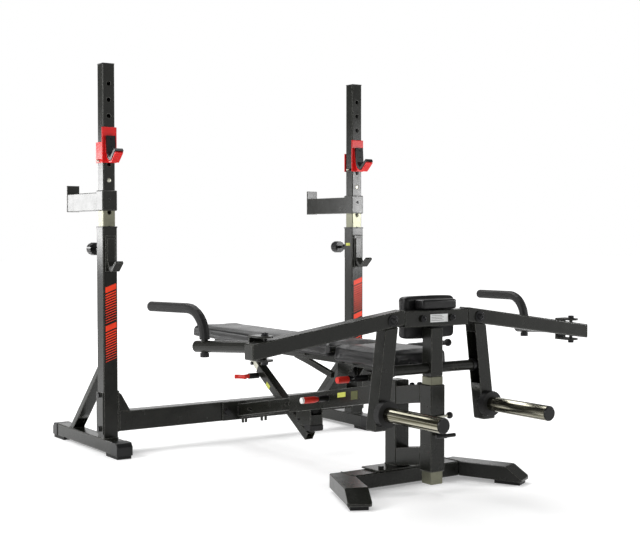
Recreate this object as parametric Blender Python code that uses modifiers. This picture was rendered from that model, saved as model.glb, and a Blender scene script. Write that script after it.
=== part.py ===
"""Olympic bench press. A rack of two height-adjustable posts with bar hooks and safety arms, an
adjustable bench that slides along a sloping spine, and a front lever with swivelling forearms,
handles and weight horns. Metres, +X right, +Y back, +Z up; the floor is z = 0.

Stations along Y are measured from the plane of the rack's posts, and one parent empty shifts the
whole machine so that the origin lies on the floor below the middle of its bounding box."""

import math

import bmesh
import bpy
from mathutils import Matrix, Vector

# ---------------------------------------------------------------- driving dimensions
RACK_Y = 0.548          # the rack's plane, behind the middle of the bounding box
GAP = 0.0003            # between pieces that touch
SLIDE_GAP = 0.0005      # between telescoping tubes
EDGE = 0.003            # rounded edge of the steel tubes

PAD_TOP = 0.012         # floor pads
FOOT_TOP = 0.062        # top of every floor tube

POST_X = 0.592          # centre of each rack post
POST = 0.050            # sliding post, square
SLEEVE = 0.060          # fixed tubes that posts slide in, square
SLEEVE_TOP = 0.886
POST_BOTTOM, POST_TOP = 0.450, 1.517
HOLE_TOP_Z, HOLE_PITCH, HOLE_COUNT, HOLE_R = 1.438, 0.062, 10, 0.009
KNOB_Z = 0.799

BEAM_Z = (0.087, 0.165)                 # crossbeam between the posts
FOOT_Y = (-0.155, 0.490)

SPINE_SLOPE = 0.1835                    # rise per metre towards the front
SPINE_Y, SPINE_Z = -0.435, 0.2005       # a point on the spine's centre line
SPINE_SLEEVE_REAR, SPINE_TUBE_FRONT = -0.435, -0.760
SPINE_SLOT_REAR, SLEEVE_SLOT_FRONT = -0.246, -0.522

REAR_POST_Y, FRONT_POST_Y = -1.075, -1.265
FRONT_SLEEVE_Z = (0.075, 0.363)
REAR_POST_TOP = 0.360

SEAT_AXIS = (-0.855, 0.452)             # y, z of the tube that seat and backrest hinge on
HINGE_R = 0.011
PAD_SURFACE = 0.470
PAD_BOTTOM, BACKREST_BOTTOM = 0.4120, 0.4230
PAD_HALF_WIDTH, HEAD_HALF_WIDTH = 0.130, 0.115
BACKREST_Y = (-0.838, 0.215)
SEAT_Y = (-1.200, -0.8715)

STRUT_PIVOT = (-0.499, 0.150)           # y, z of the strut's lower pivot
STRUT_TOP = (-0.133, 0.330)             # y, z of its bolt below the backrest
STRUT_ANGLE = math.radians(32.4)
STRUT_DEPTH, STRUT_WIDTH = 0.035, 0.038
STRUT_LOW_POINT = (-0.528, 0.072)       # lower corner of the strut's lower end

LEVER_AXIS = (FRONT_POST_Y, 0.417)      # y, z of the lever's pivot tube
PIVOT_R = 0.0175
LEVER_Y = (-1.290, -1.240)              # front and back faces of the lever's beam, arms and legs
LEVER_BEAM_Z = (0.556, 0.609)
LEVER_BEAM_X = 0.135
ARM_TIP_X, ARM_DROP = 0.707, 0.144      # arms fall outwards by this slope
HORN_X, HORN_Z, HORN_R = 0.2195, 0.286, 0.0245
HORN_Y = (-1.586, -1.316)

CLEVIS_X, CLEVIS_Y = 0.648, -1.262      # vertical bolt that a forearm swivels on
HANDLE_X, HANDLE_Y = 0.695, -0.974      # vertical shaft that a handle swivels on
FOREARM_START, FOREARM_END = (0.650, -1.214, 0.5165), (0.7015, -0.934, 0.4995)
FOREARM_R = 0.0190

# ---------------------------------------------------------------- scene, materials, bodies
for old_object in list(bpy.data.objects):
    bpy.data.objects.remove(old_object, do_unlink=True)

PARTS = bpy.data.collections.new("olympic_bench_press")
CUTTERS = bpy.data.collections.new("cutters")
for collection in (PARTS, CUTTERS):
    bpy.context.scene.collection.children.link(collection)


def material(name, colour, roughness, metallic=0.0):
    made = bpy.data.materials.new(name)
    made.use_nodes = True
    shader = made.node_tree.nodes["Principled BSDF"]
    shader.inputs["Base Color"].default_value = (*colour, 1.0)
    shader.inputs["Roughness"].default_value = roughness
    shader.inputs["Metallic"].default_value = metallic
    return made


POWDER = material("charcoal_powder_coat", (0.045, 0.046, 0.044), 0.55)
PLASTIC = material("black_plastic", (0.015, 0.015, 0.016), 0.45)
VINYL = material("black_vinyl", (0.03, 0.03, 0.031), 0.4)
RED = material("red_powder_coat", (0.72, 0.02, 0.02), 0.4)
GRIP_RED = material("red_grip_plastic", (0.70, 0.06, 0.04), 0.45)
ZINC = material("zinc_plate", (0.62, 0.62, 0.52), 0.3, 1.0)
CHROME = material("chrome", (0.80, 0.80, 0.72), 0.15, 1.0)

BODY_AT = {}


def body(name, at=(0.0, 0.0, 0.0), parent=None):
    """An empty at a joint, at a point measured from the rack's plane."""
    empty = bpy.data.objects.new(name, None)
    empty.empty_display_size = 0.05
    PARTS.objects.link(empty)
    BODY_AT[name] = Vector(at)
    if parent is None:
        empty.location = BODY_AT[name] + Vector((0.0, RACK_Y, 0.0))
    else:
        empty.parent = parent
        empty.location = BODY_AT[name] - BODY_AT[parent.name]
    return empty


RACK = body("rack_body")
BENCH = body("bench_body", parent=RACK)


# ---------------------------------------------------------------- shapes
def new_object(name, mesh, surface, owner, matrix=None, bevel=0.0):
    """A part of the body that the empty owner stands for, or a cutter when owner is None."""
    made = bpy.data.objects.new(name, mesh)
    made.matrix_basis = matrix or Matrix.Identity(4)
    mesh.materials.append(surface)
    mesh.shade_smooth()
    mesh.set_sharp_from_angle(angle=math.radians(35))
    if owner is None:
        made.parent = RACK
        made.hide_render = True
        made.display_type = "WIRE"
        CUTTERS.objects.link(made)
    else:
        made.parent = owner
        made.matrix_parent_inverse = Matrix.Translation(-BODY_AT[owner.name])
        PARTS.objects.link(made)
    if bevel:
        rounding = made.modifiers.new("edges", "BEVEL")
        rounding.width = bevel
        rounding.segments = 1
        rounding.limit_method = "ANGLE"
        rounding.angle_limit = math.radians(40)
    return made


def box(name, x, y, z, surface=POWDER, owner=RACK, bevel=EDGE):
    mesh = bpy.data.meshes.new(name)
    work = bmesh.new()
    bmesh.ops.create_cube(work, size=1.0)
    size = Vector((x[1] - x[0], y[1] - y[0], z[1] - z[0]))
    bmesh.ops.scale(work, vec=size, verts=work.verts)
    work.to_mesh(mesh)
    work.free()
    centre = Vector((sum(x) / 2, sum(y) / 2, sum(z) / 2))
    return new_object(name, mesh, surface, owner, Matrix.Translation(centre), bevel)


def cylinder(name, start, end, radius, surface=PLASTIC, owner=RACK, end_radius=None, sides=20):
    mesh = bpy.data.meshes.new(name)
    work = bmesh.new()
    start, end = Vector(start), Vector(end)
    along = end - start
    bmesh.ops.create_cone(
        work, cap_ends=True, segments=sides, radius1=radius,
        radius2=radius if end_radius is None else end_radius, depth=along.length,
    )
    work.to_mesh(mesh)
    work.free()
    turn = along.to_track_quat("Z", "Y").to_matrix().to_4x4()
    return new_object(name, mesh, surface, owner, Matrix.Translation((start + end) / 2) @ turn)


def mesh_of_curve(curve):
    """The evaluated curve as a mesh with its caps welded on."""
    carrier = bpy.data.objects.new(curve.name, curve)
    bpy.context.scene.collection.objects.link(carrier)
    graph = bpy.context.evaluated_depsgraph_get()
    mesh = bpy.data.meshes.new_from_object(carrier.evaluated_get(graph))
    bpy.data.objects.remove(carrier)
    work = bmesh.new()
    work.from_mesh(mesh)
    bmesh.ops.remove_doubles(work, verts=work.verts, dist=0.00001)
    bmesh.ops.recalc_face_normals(work, faces=work.faces)
    work.to_mesh(mesh)
    work.free()
    return mesh


# how a flat outline's own x, y and thickness lie in the machine, by the axis it is thick along
PLATE_TURN = {
    "x": Matrix(((0, 0, 1, 0), (1, 0, 0, 0), (0, 1, 0, 0), (0, 0, 0, 1))),
    "y": Matrix(((1, 0, 0, 0), (0, 0, -1, 0), (0, 1, 0, 0), (0, 0, 0, 1))),
    "z": Matrix.Identity(4),
}


def plate(name, axis, outline, span, surface=POWDER, owner=RACK, bevel=0.0):
    """A flat outline (y, z), (x, z) or (x, y), thick along axis over the span."""
    curve = bpy.data.curves.new(name, "CURVE")
    curve.dimensions = "2D"
    curve.fill_mode = "BOTH"
    curve.extrude = (span[1] - span[0]) / 2
    line = curve.splines.new("POLY")
    line.points.add(len(outline) - 1)
    for point, (u, v) in zip(line.points, outline):
        point.co = (u, v, 0.0, 1.0)
    line.use_cyclic_u = True
    middle = sum(span) / 2
    centre = Vector([middle if letter == axis else 0.0 for letter in "xyz"])
    matrix = Matrix.Translation(centre) @ PLATE_TURN[axis]
    return new_object(name, mesh_of_curve(curve), surface, owner, matrix, bevel)


def rod(name, points, radius, surface=POWDER, owner=RACK, resolution=4):
    curve = bpy.data.curves.new(name, "CURVE")
    curve.dimensions = "3D"
    curve.bevel_depth = radius
    curve.bevel_resolution = resolution
    curve.use_fill_caps = True
    line = curve.splines.new("POLY")
    line.points.add(len(points) - 1)
    for point, place in zip(line.points, points):
        point.co = (*place, 1.0)
    return new_object(name, mesh_of_curve(curve), surface, owner)


def ball(name, centre, radius, surface=PLASTIC, owner=RACK):
    mesh = bpy.data.meshes.new(name)
    work = bmesh.new()
    bmesh.ops.create_uvsphere(work, u_segments=16, v_segments=8, radius=radius)
    work.to_mesh(mesh)
    work.free()
    return new_object(name, mesh, surface, owner, Matrix.Translation(Vector(centre)))


def boolean(target, tools, operation):
    for tool in tools:
        step = target.modifiers.new(operation.lower(), "BOOLEAN")
        step.operation = operation
        step.solver = "EXACT"
        step.object = tool
    return target


def cut(target, *tools):
    return boolean(target, tools, "DIFFERENCE")


def join(target, *tools):
    return boolean(target, tools, "UNION")


def rounded_path(corners, radius, steps=6):
    """The corners of a bent tube, each inner one replaced by an arc of the radius."""
    corners = [Vector(corner) for corner in corners]
    path = [corners[0]]
    for before, corner, after in zip(corners, corners[1:], corners[2:]):
        into, away = (before - corner).normalized(), (after - corner).normalized()
        half = into.angle(away) / 2
        reach = radius / math.tan(half)
        centre = corner + (into + away).normalized() * (radius / math.sin(half))
        first = (corner + into * reach - centre).normalized()
        last = (corner + away * reach - centre).normalized()
        for step in range(steps + 1):
            path.append(centre + first.slerp(last, step / steps) * radius)
    path.append(corners[-1])
    return path


def strip_outline(path, thickness):
    """The outline of a flat bar bent along a path of (u, v) points."""
    path = [Vector(point) for point in path]
    left, right = [], []
    for index, point in enumerate(path):
        before = path[index - 1] if index else None
        after = path[index + 1] if index + 1 < len(path) else None
        into = (point - before).normalized() if before else (after - point).normalized()
        away = (after - point).normalized() if after else into
        across = (into + away).normalized().orthogonal().normalized()
        width = thickness / 2 / max(0.3, across.dot(into.orthogonal().normalized()))
        left.append(point + across * width)
        right.append(point - across * width)
    return left + right[::-1]


def circle_points(centre, radius, start, stop, steps):
    """Points of an arc from the start angle to the stop angle, in degrees."""
    angles = [math.radians(start + (stop - start) * step / steps) for step in range(steps + 1)]
    return [(centre[0] + radius * math.cos(a), centre[1] + radius * math.sin(a)) for a in angles]


def around(centre, reach):
    return (centre - reach, centre + reach)


def mirrored(side, x):
    """An x span on the right for side 1 and its mirror image for side -1."""
    return tuple(sorted((side * x[0], side * x[1])))


SIDES = (("left", -1), ("right", 1))


# ---------------------------------------------------------------- rack
def make_foot(name, side):
    """A floor tube with a wider plastic cap at each end and a rubber pad below each."""
    centre = side * POST_X
    foot = box(name, around(centre, 0.030), (FOOT_Y[0] + 0.01, FOOT_Y[1] - 0.01),
               (PAD_TOP, FOOT_TOP - 0.0005))
    hollow = box(name + "_hollow", around(centre, 0.0268), (FOOT_Y[0] + 0.016, FOOT_Y[1] - 0.016),
                 (PAD_TOP + 0.003, FOOT_TOP - 0.0035), owner=None, bevel=0.0)
    drain = cylinder(name + "_drain", (centre, 0.2, 0.0), (centre, 0.2, 0.03), 0.006, owner=None,
                     sides=10)
    cap_half, pad_half = 0.033, 0.029
    front, back = FOOT_Y
    tools = []
    for end, inward, reach, tag in ((front, 1, 0.060, "front"), (back, -1, 0.045, "back")):
        outline = (
            (end, PAD_TOP), (end, FOOT_TOP - 0.016), (end + inward * 0.012, FOOT_TOP),
            (end + inward * reach, FOOT_TOP), (end + inward * reach, PAD_TOP),
        )
        tools.append(plate(f"{name}_{tag}_cap", "x", outline, around(centre, cap_half),
                           owner=None, bevel=0.002))
        pad = sorted((end + inward * 0.006, end + inward * 0.110))
        tools.append(box(f"{name}_{tag}_pad", around(centre, pad_half), pad,
                         (0.0, PAD_TOP + 0.004), owner=None, bevel=0.0))
    cut(join(foot, *tools), hollow, drain)


def make_upright_sleeve(name, side):
    """Tube that the post slides in, with an outer bolting plate and the knob's socket."""
    centre = side * POST_X
    sleeve = box(name, around(centre, SLEEVE / 2), around(0.0, SLEEVE / 2),
                 (FOOT_TOP + GAP, SLEEVE_TOP))
    face = POST_X + SLEEVE / 2
    plate_out = box(name + "_plate", mirrored(side, (face - 0.002, face + 0.005)),
                    around(0.0, 0.0295), (0.080, 0.243), owner=None, bevel=0.0)
    bolts = [
        cylinder(f"{name}_bolt_{index}", (side * (face + 0.004), 0.0, z),
                 (side * (face + 0.013), 0.0, z), 0.011, owner=None, sides=10)
        for index, z in enumerate((0.099, 0.232))
    ]
    socket = cylinder(name + "_socket", (centre, 0.028, KNOB_Z), (centre, 0.072, KNOB_Z), 0.0125,
                      owner=None, sides=14)
    bore = box(name + "_bore", around(centre, POST / 2 + SLIDE_GAP),
               around(0.0, POST / 2 + SLIDE_GAP), (FOOT_TOP - 0.01, SLEEVE_TOP + 0.01),
               owner=None, bevel=0.0)
    knob_bore = cylinder(name + "_knob_bore", (centre, 0.015, KNOB_Z), (centre, 0.08, KNOB_Z),
                         0.0065, owner=None, sides=12)
    cut(join(sleeve, plate_out, *bolts, socket), bore, knob_bore)


def make_rear_brace(name, side):
    outline = (
        (0.3257, FOOT_TOP + GAP), (SLEEVE / 2 + GAP, 0.3497),
        (SLEEVE / 2 + GAP, 0.3147), (0.2897, FOOT_TOP + GAP),
    )
    brace = plate(name, "x", outline, around(side * POST_X, 0.025), bevel=0.002)
    inner = (
        (0.322, FOOT_TOP - 0.01), (SLEEVE / 2 - 0.02, 0.3665),
        (SLEEVE / 2 - 0.02, 0.3420), (0.2985, FOOT_TOP - 0.01),
    )
    cut(brace, plate(name + "_hollow", "x", inner, around(side * POST_X, 0.0225), owner=None))


def make_crossbeam():
    reach = POST_X - SLEEVE / 2 - 0.006
    beam = box("crossbeam", (-reach + GAP, reach - GAP), (-0.030, 0.030), BEAM_Z)
    hollow = box("crossbeam_hollow", (-reach - 0.01, reach + 0.01), (-0.027, 0.027),
                 (BEAM_Z[0] + 0.003, BEAM_Z[1] - 0.003), owner=None, bevel=0.0)
    cut(beam, hollow)


def make_crossbeam_bracket(name, side):
    """Plate against the sleeve's inner face, with a gusset down to the crossbeam's top."""
    face = POST_X - SLEEVE / 2 - GAP
    flange = box(name, mirrored(side, (face - 0.0054, face)), (-0.030, 0.030), (0.086, 0.247),
                 bevel=0.001)
    tools = []
    for index, y in enumerate((-0.0275, 0.0275)):
        outline = [
            (side * (face - 0.004), 0.240), (side * (face - 0.014), 0.232),
            (side * (face - 0.052), BEAM_Z[1] + GAP), (side * (face - 0.004), BEAM_Z[1] + GAP),
        ]
        tools.append(plate(f"{name}_gusset_{index}", "y", outline, around(y, 0.0022), owner=None))
    join(flange, *tools)


def make_lower_hook(name, side):
    """Fixed bar hook on the sleeve's front face."""
    centre = side * POST_X
    front = -SLEEVE / 2 - GAP
    strap = box(name, around(centre, 0.022), (front - 0.006, front), (0.712, 0.851), bevel=0.001)
    path = [
        (front - 0.0062, 0.840), (front - 0.0070, 0.752), (-0.048, 0.731), (-0.062, 0.7205),
        (-0.078, 0.7190), (-0.114, 0.7510),
    ]
    hook = plate(name + "_hook", "x", strip_outline(path, 0.010), around(centre, 0.016),
                 owner=None)
    join(strap, hook)


def make_bar_hook(side_name, side, owner):
    """Red channel that hangs on the post, its hook and the hook's plastic liner."""
    centre = side * POST_X
    inner, outer = POST / 2 + SLIDE_GAP, POST / 2 + 0.0055
    low, shoulder, top = 1.133, 1.213, 1.271
    name = f"{side_name}_bar_hook"
    channel = box(name, around(centre, outer), around(0.0, outer), (low, top), RED, owner, 0.0015)
    opening = box(name + "_opening", mirrored(side, (POST_X - outer - 0.02, POST_X + inner)),
                  around(0.0, inner), (low - 0.01, top + 0.01), owner=None, bevel=0.0)
    upper = box(name + "_upper", around(centre, outer + 0.01), (-inner, outer + 0.01),
                (shoulder, top + 0.01), owner=None, bevel=0.0)
    path = [(-0.0290, 1.222), (-0.0345, 1.168), (-0.0460, 1.147), (-0.0620, 1.136),
            (-0.0790, 1.1345), (-0.1180, 1.1690)]
    steel = plate(name + "_steel", "x", strip_outline(path, 0.006), around(centre, 0.016),
                  owner=None)
    cut(channel, opening, upper)
    join(channel, steel)
    liner_path = [(-0.0392, 1.236), (-0.0440, 1.172), (-0.0532, 1.1552), (-0.0653, 1.1467),
                  (-0.0770, 1.1457), (-0.1150, 1.1793)]
    plate(f"{side_name}_hook_liner", "x", strip_outline(liner_path, 0.012),
          around(centre, 0.018), PLASTIC, owner)


def make_safety_arm(name, side, owner):
    """Collar round the post, arm to the back and upturned end plate."""
    centre = side * POST_X
    collar = box(name, around(centre, 0.031), around(0.0, 0.031), (0.948, 1.027), owner=owner)
    arm = box(name + "_arm", around(centre, 0.025), (0.029, 0.332), (0.9485, 1.020), owner=None,
              bevel=0.002)
    end = box(name + "_end", around(centre, 0.0265), (0.330, 0.336), (0.9475, 1.055), owner=None,
              bevel=0.0)
    bolt = cylinder(name + "_bolt", (centre, -0.030, 0.997), (centre, -0.035, 0.997), 0.005,
                    owner=None, sides=10)
    bore = box(name + "_bore", around(centre, POST / 2 + SLIDE_GAP),
               around(0.0, POST / 2 + SLIDE_GAP), (0.93, 1.05), owner=None, bevel=0.0)
    hollow = box(name + "_hollow", around(centre, 0.022), (0.020, 0.327), (0.9515, 1.017),
                 owner=None, bevel=0.0)
    cut(join(collar, arm, end, bolt), bore, hollow)


def make_upright_post(name, side, owner):
    """Square tube closed by a cap, with a row of holes right through it."""
    centre = side * POST_X
    post = box(name, around(centre, POST / 2), around(0.0, POST / 2), (POST_BOTTOM, POST_TOP),
               owner=owner)
    hollow = box(name + "_hollow", around(centre, POST / 2 - 0.003),
                 around(0.0, POST / 2 - 0.003), (POST_BOTTOM - 0.01, POST_TOP - 0.008),
                 owner=None, bevel=0.0)
    cut(post, hollow)
    for index in range(HOLE_COUNT):
        z = HOLE_TOP_Z - HOLE_PITCH * index
        cut(post, cylinder(f"{name}_hole_{index}", (centre, -0.04, z), (centre, 0.04, z), HOLE_R,
                           owner=None, sides=10))


def make_height_knob(name, side, owner):
    centre = side * POST_X
    stem = cylinder(name, (centre, 0.0262, KNOB_Z), (centre, 0.108, KNOB_Z), 0.006, PLASTIC,
                    owner, sides=12)
    grip = cylinder(name + "_grip", (centre, 0.104, KNOB_Z), (centre, 0.143, KNOB_Z), 0.024,
                    owner=None, sides=20)
    join(stem, grip)


for side_name, side in SIDES:
    make_foot(f"{side_name}_foot", side)
    make_upright_sleeve(f"{side_name}_upright_sleeve", side)
    make_rear_brace(f"{side_name}_rear_brace", side)
    make_crossbeam_bracket(f"{side_name}_crossbeam_bracket", side)
    make_lower_hook(f"{side_name}_lower_hook", side)
    post_body = body(f"{side_name}_post_body", (side * POST_X, 0.0, SLEEVE_TOP), RACK)
    hook_body = body(f"{side_name}_hook_body", (side * POST_X, 0.0, 1.133), post_body)
    arm_body = body(f"{side_name}_safety_body", (side * POST_X, 0.0, 0.948), post_body)
    knob_body = body(f"{side_name}_knob_body", (side * POST_X, 0.0, KNOB_Z), RACK)
    make_upright_post(f"{side_name}_upright_post", side, post_body)
    make_bar_hook(side_name, side, hook_body)
    make_safety_arm(f"{side_name}_safety_arm", side, arm_body)
    make_height_knob(f"{side_name}_height_knob", side, knob_body)
make_crossbeam()


# ---------------------------------------------------------------- spine
def spine_z(y):
    return SPINE_Z + SPINE_SLOPE * (SPINE_Y - y)


def along_spine(y0, y1, half_height):
    """The side outline of a tube on the spine's centre line, its ends cut upright."""
    rise = half_height * math.hypot(1.0, SPINE_SLOPE)
    return (
        (y0, spine_z(y0) - rise), (y0, spine_z(y0) + rise),
        (y1, spine_z(y1) + rise), (y1, spine_z(y1) - rise),
    )


def make_spine_rear_tube():
    """Tube bolted to the crossbeam; its front is a fork that the bench slides on."""
    name = "spine_rear_tube"
    root = -0.030 - GAP
    tube = plate(name, "x", along_spine(root - 0.002, SPINE_TUBE_FRONT, 0.025), (-0.025, 0.025),
                 bevel=0.002)
    flange = box(name + "_flange", (-0.098, 0.098), (root - 0.006, root),
                 (BEAM_Z[0] + 0.0005, BEAM_Z[1] - 0.0005), owner=None, bevel=0.001)
    bolts = [
        cylinder(f"{name}_bolt_{index}", (x, root - 0.004, 0.123), (x, root - 0.016, 0.123),
                 0.013, owner=None, sides=12)
        for index, x in enumerate((-0.078, 0.078))
    ]
    strap = plate(name + "_strap", "x", [(y, z - 0.0263 + drop) for y, z, drop in (
        (-0.045, spine_z(-0.045), 0.001), (-0.275, spine_z(-0.275), 0.001),
        (-0.275, spine_z(-0.275), -0.005), (-0.045, spine_z(-0.045), -0.005))],
        (-0.020, 0.020), owner=None)
    studs = [
        cylinder(f"{name}_stud_{index}", (-0.013, y, spine_z(y) - 0.028),
                 (-0.013, y, spine_z(y) - 0.054), 0.0055, owner=None, sides=10)
        for index, y in enumerate((-0.055, -0.080, -0.205, -0.235))
    ]
    hollow = plate(name + "_hollow", "x",
                   along_spine(root - 0.012, SPINE_TUBE_FRONT - 0.02, 0.0215),
                   (-0.0210, 0.0210), owner=None)
    fork = plate(name + "_fork", "x",
                 along_spine(SPINE_SLOT_REAR, SPINE_TUBE_FRONT - 0.02, 0.040),
                 (-0.0210, 0.0210), owner=None)
    slot = box(name + "_slot", (-0.03, -0.02), (-0.150, -0.115),
               around(spine_z(-0.1325) - 0.003, 0.004), owner=None, bevel=0.0)
    holes = [
        cylinder(f"{name}_hole_{index}", (-0.03, y, spine_z(y)), (-0.018, y, spine_z(y)), 0.006,
                 owner=None, sides=10)
        for index, y in enumerate((-0.402, -0.428))
    ]
    cut(join(tube, flange, *bolts, strap, *studs), hollow, fork, slot, *holes)


def pin_barrel(name, root, length):
    """The threaded housing of a pull pin, which stands out to the left of a wall."""
    end = Vector(root) - Vector((length, 0.0, 0.0))
    return cylinder(name, Vector(root) + Vector((0.0015, 0.0, 0.0)), end, 0.0115, owner=None,
                    sides=16)


def pin_bore(name, root):
    return cylinder(name, Vector(root) + Vector((0.012, 0.0, 0.0)),
                    Vector(root) - Vector((0.08, 0.0, 0.0)), 0.0055, owner=None, sides=12)


BARREL = {"spine": 0.045, "strut": 0.044, "seat": 0.056}
PIN_ROOT = {
    "spine": (-0.030, -0.700, spine_z(-0.700) + 0.004),
    "strut": (-STRUT_WIDTH / 2, -0.186, 0.286),
    "seat": (-0.030, -0.942, 0.353),
}


def make_spine_sleeve():
    """Tube of the bench that slides on the fork, slotted where the strut passes."""
    front = REAR_POST_Y + SLEEVE / 2 + GAP
    sleeve = plate("spine_sleeve", "x", along_spine(SPINE_SLEEVE_REAR, front, 0.032),
                   (-SLEEVE / 2, SLEEVE / 2), owner=BENCH, bevel=0.002)
    bore = plate("spine_sleeve_bore", "x", along_spine(SPINE_SLEEVE_REAR + 0.02, front - 0.02,
                                                        POST / 2 + SLIDE_GAP),
                 around(0.0, POST / 2 + SLIDE_GAP), owner=None)
    slot = plate("spine_sleeve_slot", "x",
                 along_spine(SPINE_SLEEVE_REAR + 0.02, SLEEVE_SLOT_FRONT, 0.05),
                 (-0.0212, 0.0212), owner=None)
    barrel = pin_barrel("spine_sleeve_barrel", PIN_ROOT["spine"], BARREL["spine"])
    cut(join(sleeve, barrel), bore, slot, pin_bore("spine_sleeve_pin_bore", PIN_ROOT["spine"]))


def make_strut_bracket():
    """Two ears below the sleeve, the strut's pivot bolt and a rubber stop."""
    y, z = STRUT_PIVOT
    name = "strut_bracket"

    def sleeve_bottom(station):
        return spine_z(station) - 0.032 * math.hypot(1.0, SPINE_SLOPE) - GAP

    outline = [(-0.580, sleeve_bottom(-0.580)), (-0.580, 0.128), (-0.532, 0.128)]
    outline += circle_points((y, z), 0.016, 270, 360, 4)
    outline += [(y + 0.016, sleeve_bottom(y + 0.016))]
    ear = plate(name, "x", outline, (0.0245, 0.0290), owner=BENCH)
    other = plate(name + "_ear", "x", outline, (-0.0290, -0.0245), owner=None)
    stop = box(name + "_stop", (-0.0300, 0.0300), (-0.586, -0.538), (0.112, 0.136), owner=None,
               bevel=0.004)
    web = box(name + "_web", (-0.026, 0.026), (-0.578, -0.573), (0.130, 0.172), owner=None,
              bevel=0.0)
    bolt = cylinder(name + "_bolt", (-0.033, y, z), (0.033, y, z), 0.005, owner=None, sides=12)
    join(ear, other, stop, web, bolt)


make_spine_rear_tube()
make_spine_sleeve()
make_strut_bracket()


# ---------------------------------------------------------------- front stand
def make_rear_post():
    y = REAR_POST_Y
    post = box("rear_post", around(0.0, SLEEVE / 2), around(y, SLEEVE / 2),
               (FOOT_TOP + GAP + 0.001, REAR_POST_TOP), owner=BENCH)
    base = box("rear_post_base", (-0.130, 0.130), (-1.138, -1.046),
               (FOOT_TOP + GAP, FOOT_TOP + 0.006), owner=None, bevel=0.001)
    bolts = [
        cylinder(f"rear_post_bolt_{index}", (x, -1.110, FOOT_TOP + 0.004),
                 (x, -1.110, FOOT_TOP + 0.014), 0.010, owner=None, sides=10)
        for index, x in enumerate((-0.095, 0.095))
    ]
    hollow = box("rear_post_hollow", around(0.0, 0.027), around(y, 0.027),
                 (FOOT_TOP - 0.01, REAR_POST_TOP - 0.004), owner=None, bevel=0.0)
    cut(join(post, base, *bolts), hollow)


def make_front_post_sleeve():
    y = FRONT_POST_Y
    name = "front_post_sleeve"
    sleeve = box(name, around(0.0, SLEEVE / 2), around(y, SLEEVE / 2), FRONT_SLEEVE_Z,
                 owner=BENCH)
    bore = box(name + "_bore", around(0.0, POST / 2 + SLIDE_GAP),
               around(y, POST / 2 + SLIDE_GAP), (0.05, 0.4), owner=None, bevel=0.0)
    holes = [
        cylinder(f"{name}_hole_{index}", (0.0, y - 0.05, z), (0.0, y - 0.015, z), radius,
                 owner=None, sides=12)
        for index, (z, radius) in enumerate(((0.200, 0.0085), (0.257, 0.0055)))
    ]
    cut(sleeve, bore, *holes)


def make_link(name, low_rear, high_rear, slope):
    """Short tube between the two posts of the stand, falling towards the back."""
    rear = REAR_POST_Y - SLEEVE / 2 - GAP
    front = FRONT_POST_Y + SLEEVE / 2 + GAP
    rise = slope * (rear - front)
    outline = ((rear, low_rear), (rear, high_rear), (front, high_rear + rise),
               (front, low_rear + rise))
    link = plate(name, "x", outline, (-0.029, 0.029), owner=BENCH, bevel=0.002)
    wall = 0.003
    reach = 0.02
    inner = (
        (rear + reach, low_rear + wall - slope * reach),
        (rear + reach, high_rear - wall - slope * reach),
        (front - reach, high_rear - wall + rise + slope * reach),
        (front - reach, low_rear + wall + rise + slope * reach),
    )
    cut(link, plate(name + "_hollow", "x", inner, (-0.026, 0.026), owner=None))


def make_front_foot_beam():
    beam = box("front_foot_beam", (-0.225, 0.225), (-1.140, -1.060), (PAD_TOP, FOOT_TOP),
               owner=BENCH)
    hollow = box("front_foot_beam_hollow", (-0.24, 0.24), (-1.137, -1.063),
                 (PAD_TOP + 0.003, FOOT_TOP - 0.003), owner=None, bevel=0.0)
    cut(beam, hollow)


def make_foot_wing(name, side):
    """Splayed end of the front foot, with a capped tip on a rubber pad."""
    corners = (
        (0.2253, -1.060), (0.270, -1.056), (0.3765, -1.304), (0.384, -1.318), (0.378, -1.326),
        (0.322, -1.3555), (0.313, -1.354), (0.2253, -1.142),
    )
    outline = [(side * x, y) for x, y in corners]
    wing = plate(name, "z", outline, (PAD_TOP, FOOT_TOP), owner=BENCH, bevel=0.003)
    pad_corners = ((0.330, -1.235), (0.3725, -1.318), (0.320, -1.3445), (0.280, -1.262))
    pad = plate(name + "_pad", "z", [(side * x, y) for x, y in pad_corners],
                (0.0, PAD_TOP + 0.004), owner=None)
    inner_corners = ((0.215, -1.063), (0.2675, -1.060), (0.3575, -1.2705), (0.2990, -1.2960),
                     (0.2285, -1.141), (0.215, -1.134))
    hollow = plate(name + "_hollow", "z", [(side * x, y) for x, y in inner_corners],
                   (PAD_TOP + 0.003, FOOT_TOP - 0.003), owner=None)
    away = Vector((side * 0.399, -0.917, 0.0))
    slope = plate(name + "_slope", "x", [(0.0, FOOT_TOP + 0.002), (0.1, FOOT_TOP + 0.002),
                                         (0.1, FOOT_TOP - 0.068)], (-0.1, 0.1), owner=None)
    slope.matrix_basis = (Matrix.Translation((side * 0.330, -1.283, 0.0))
                          @ away.to_track_quat("Y", "Z").to_matrix().to_4x4()
                          @ slope.matrix_basis)
    cut(join(wing, pad), hollow, slope)


make_rear_post()
make_front_post_sleeve()
make_link("upper_link", 0.2800, 0.3410, 0.147)
make_link("lower_link", 0.0690, 0.1300, 0.170)
make_front_foot_beam()
for side_name, side in SIDES:
    make_foot_wing(f"{side_name}_foot_wing", side)


# ---------------------------------------------------------------- bench: post, hinge and pads
def above_spine(y):
    return spine_z(y) + 0.032 * math.hypot(1.0, SPINE_SLOPE) + GAP


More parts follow.
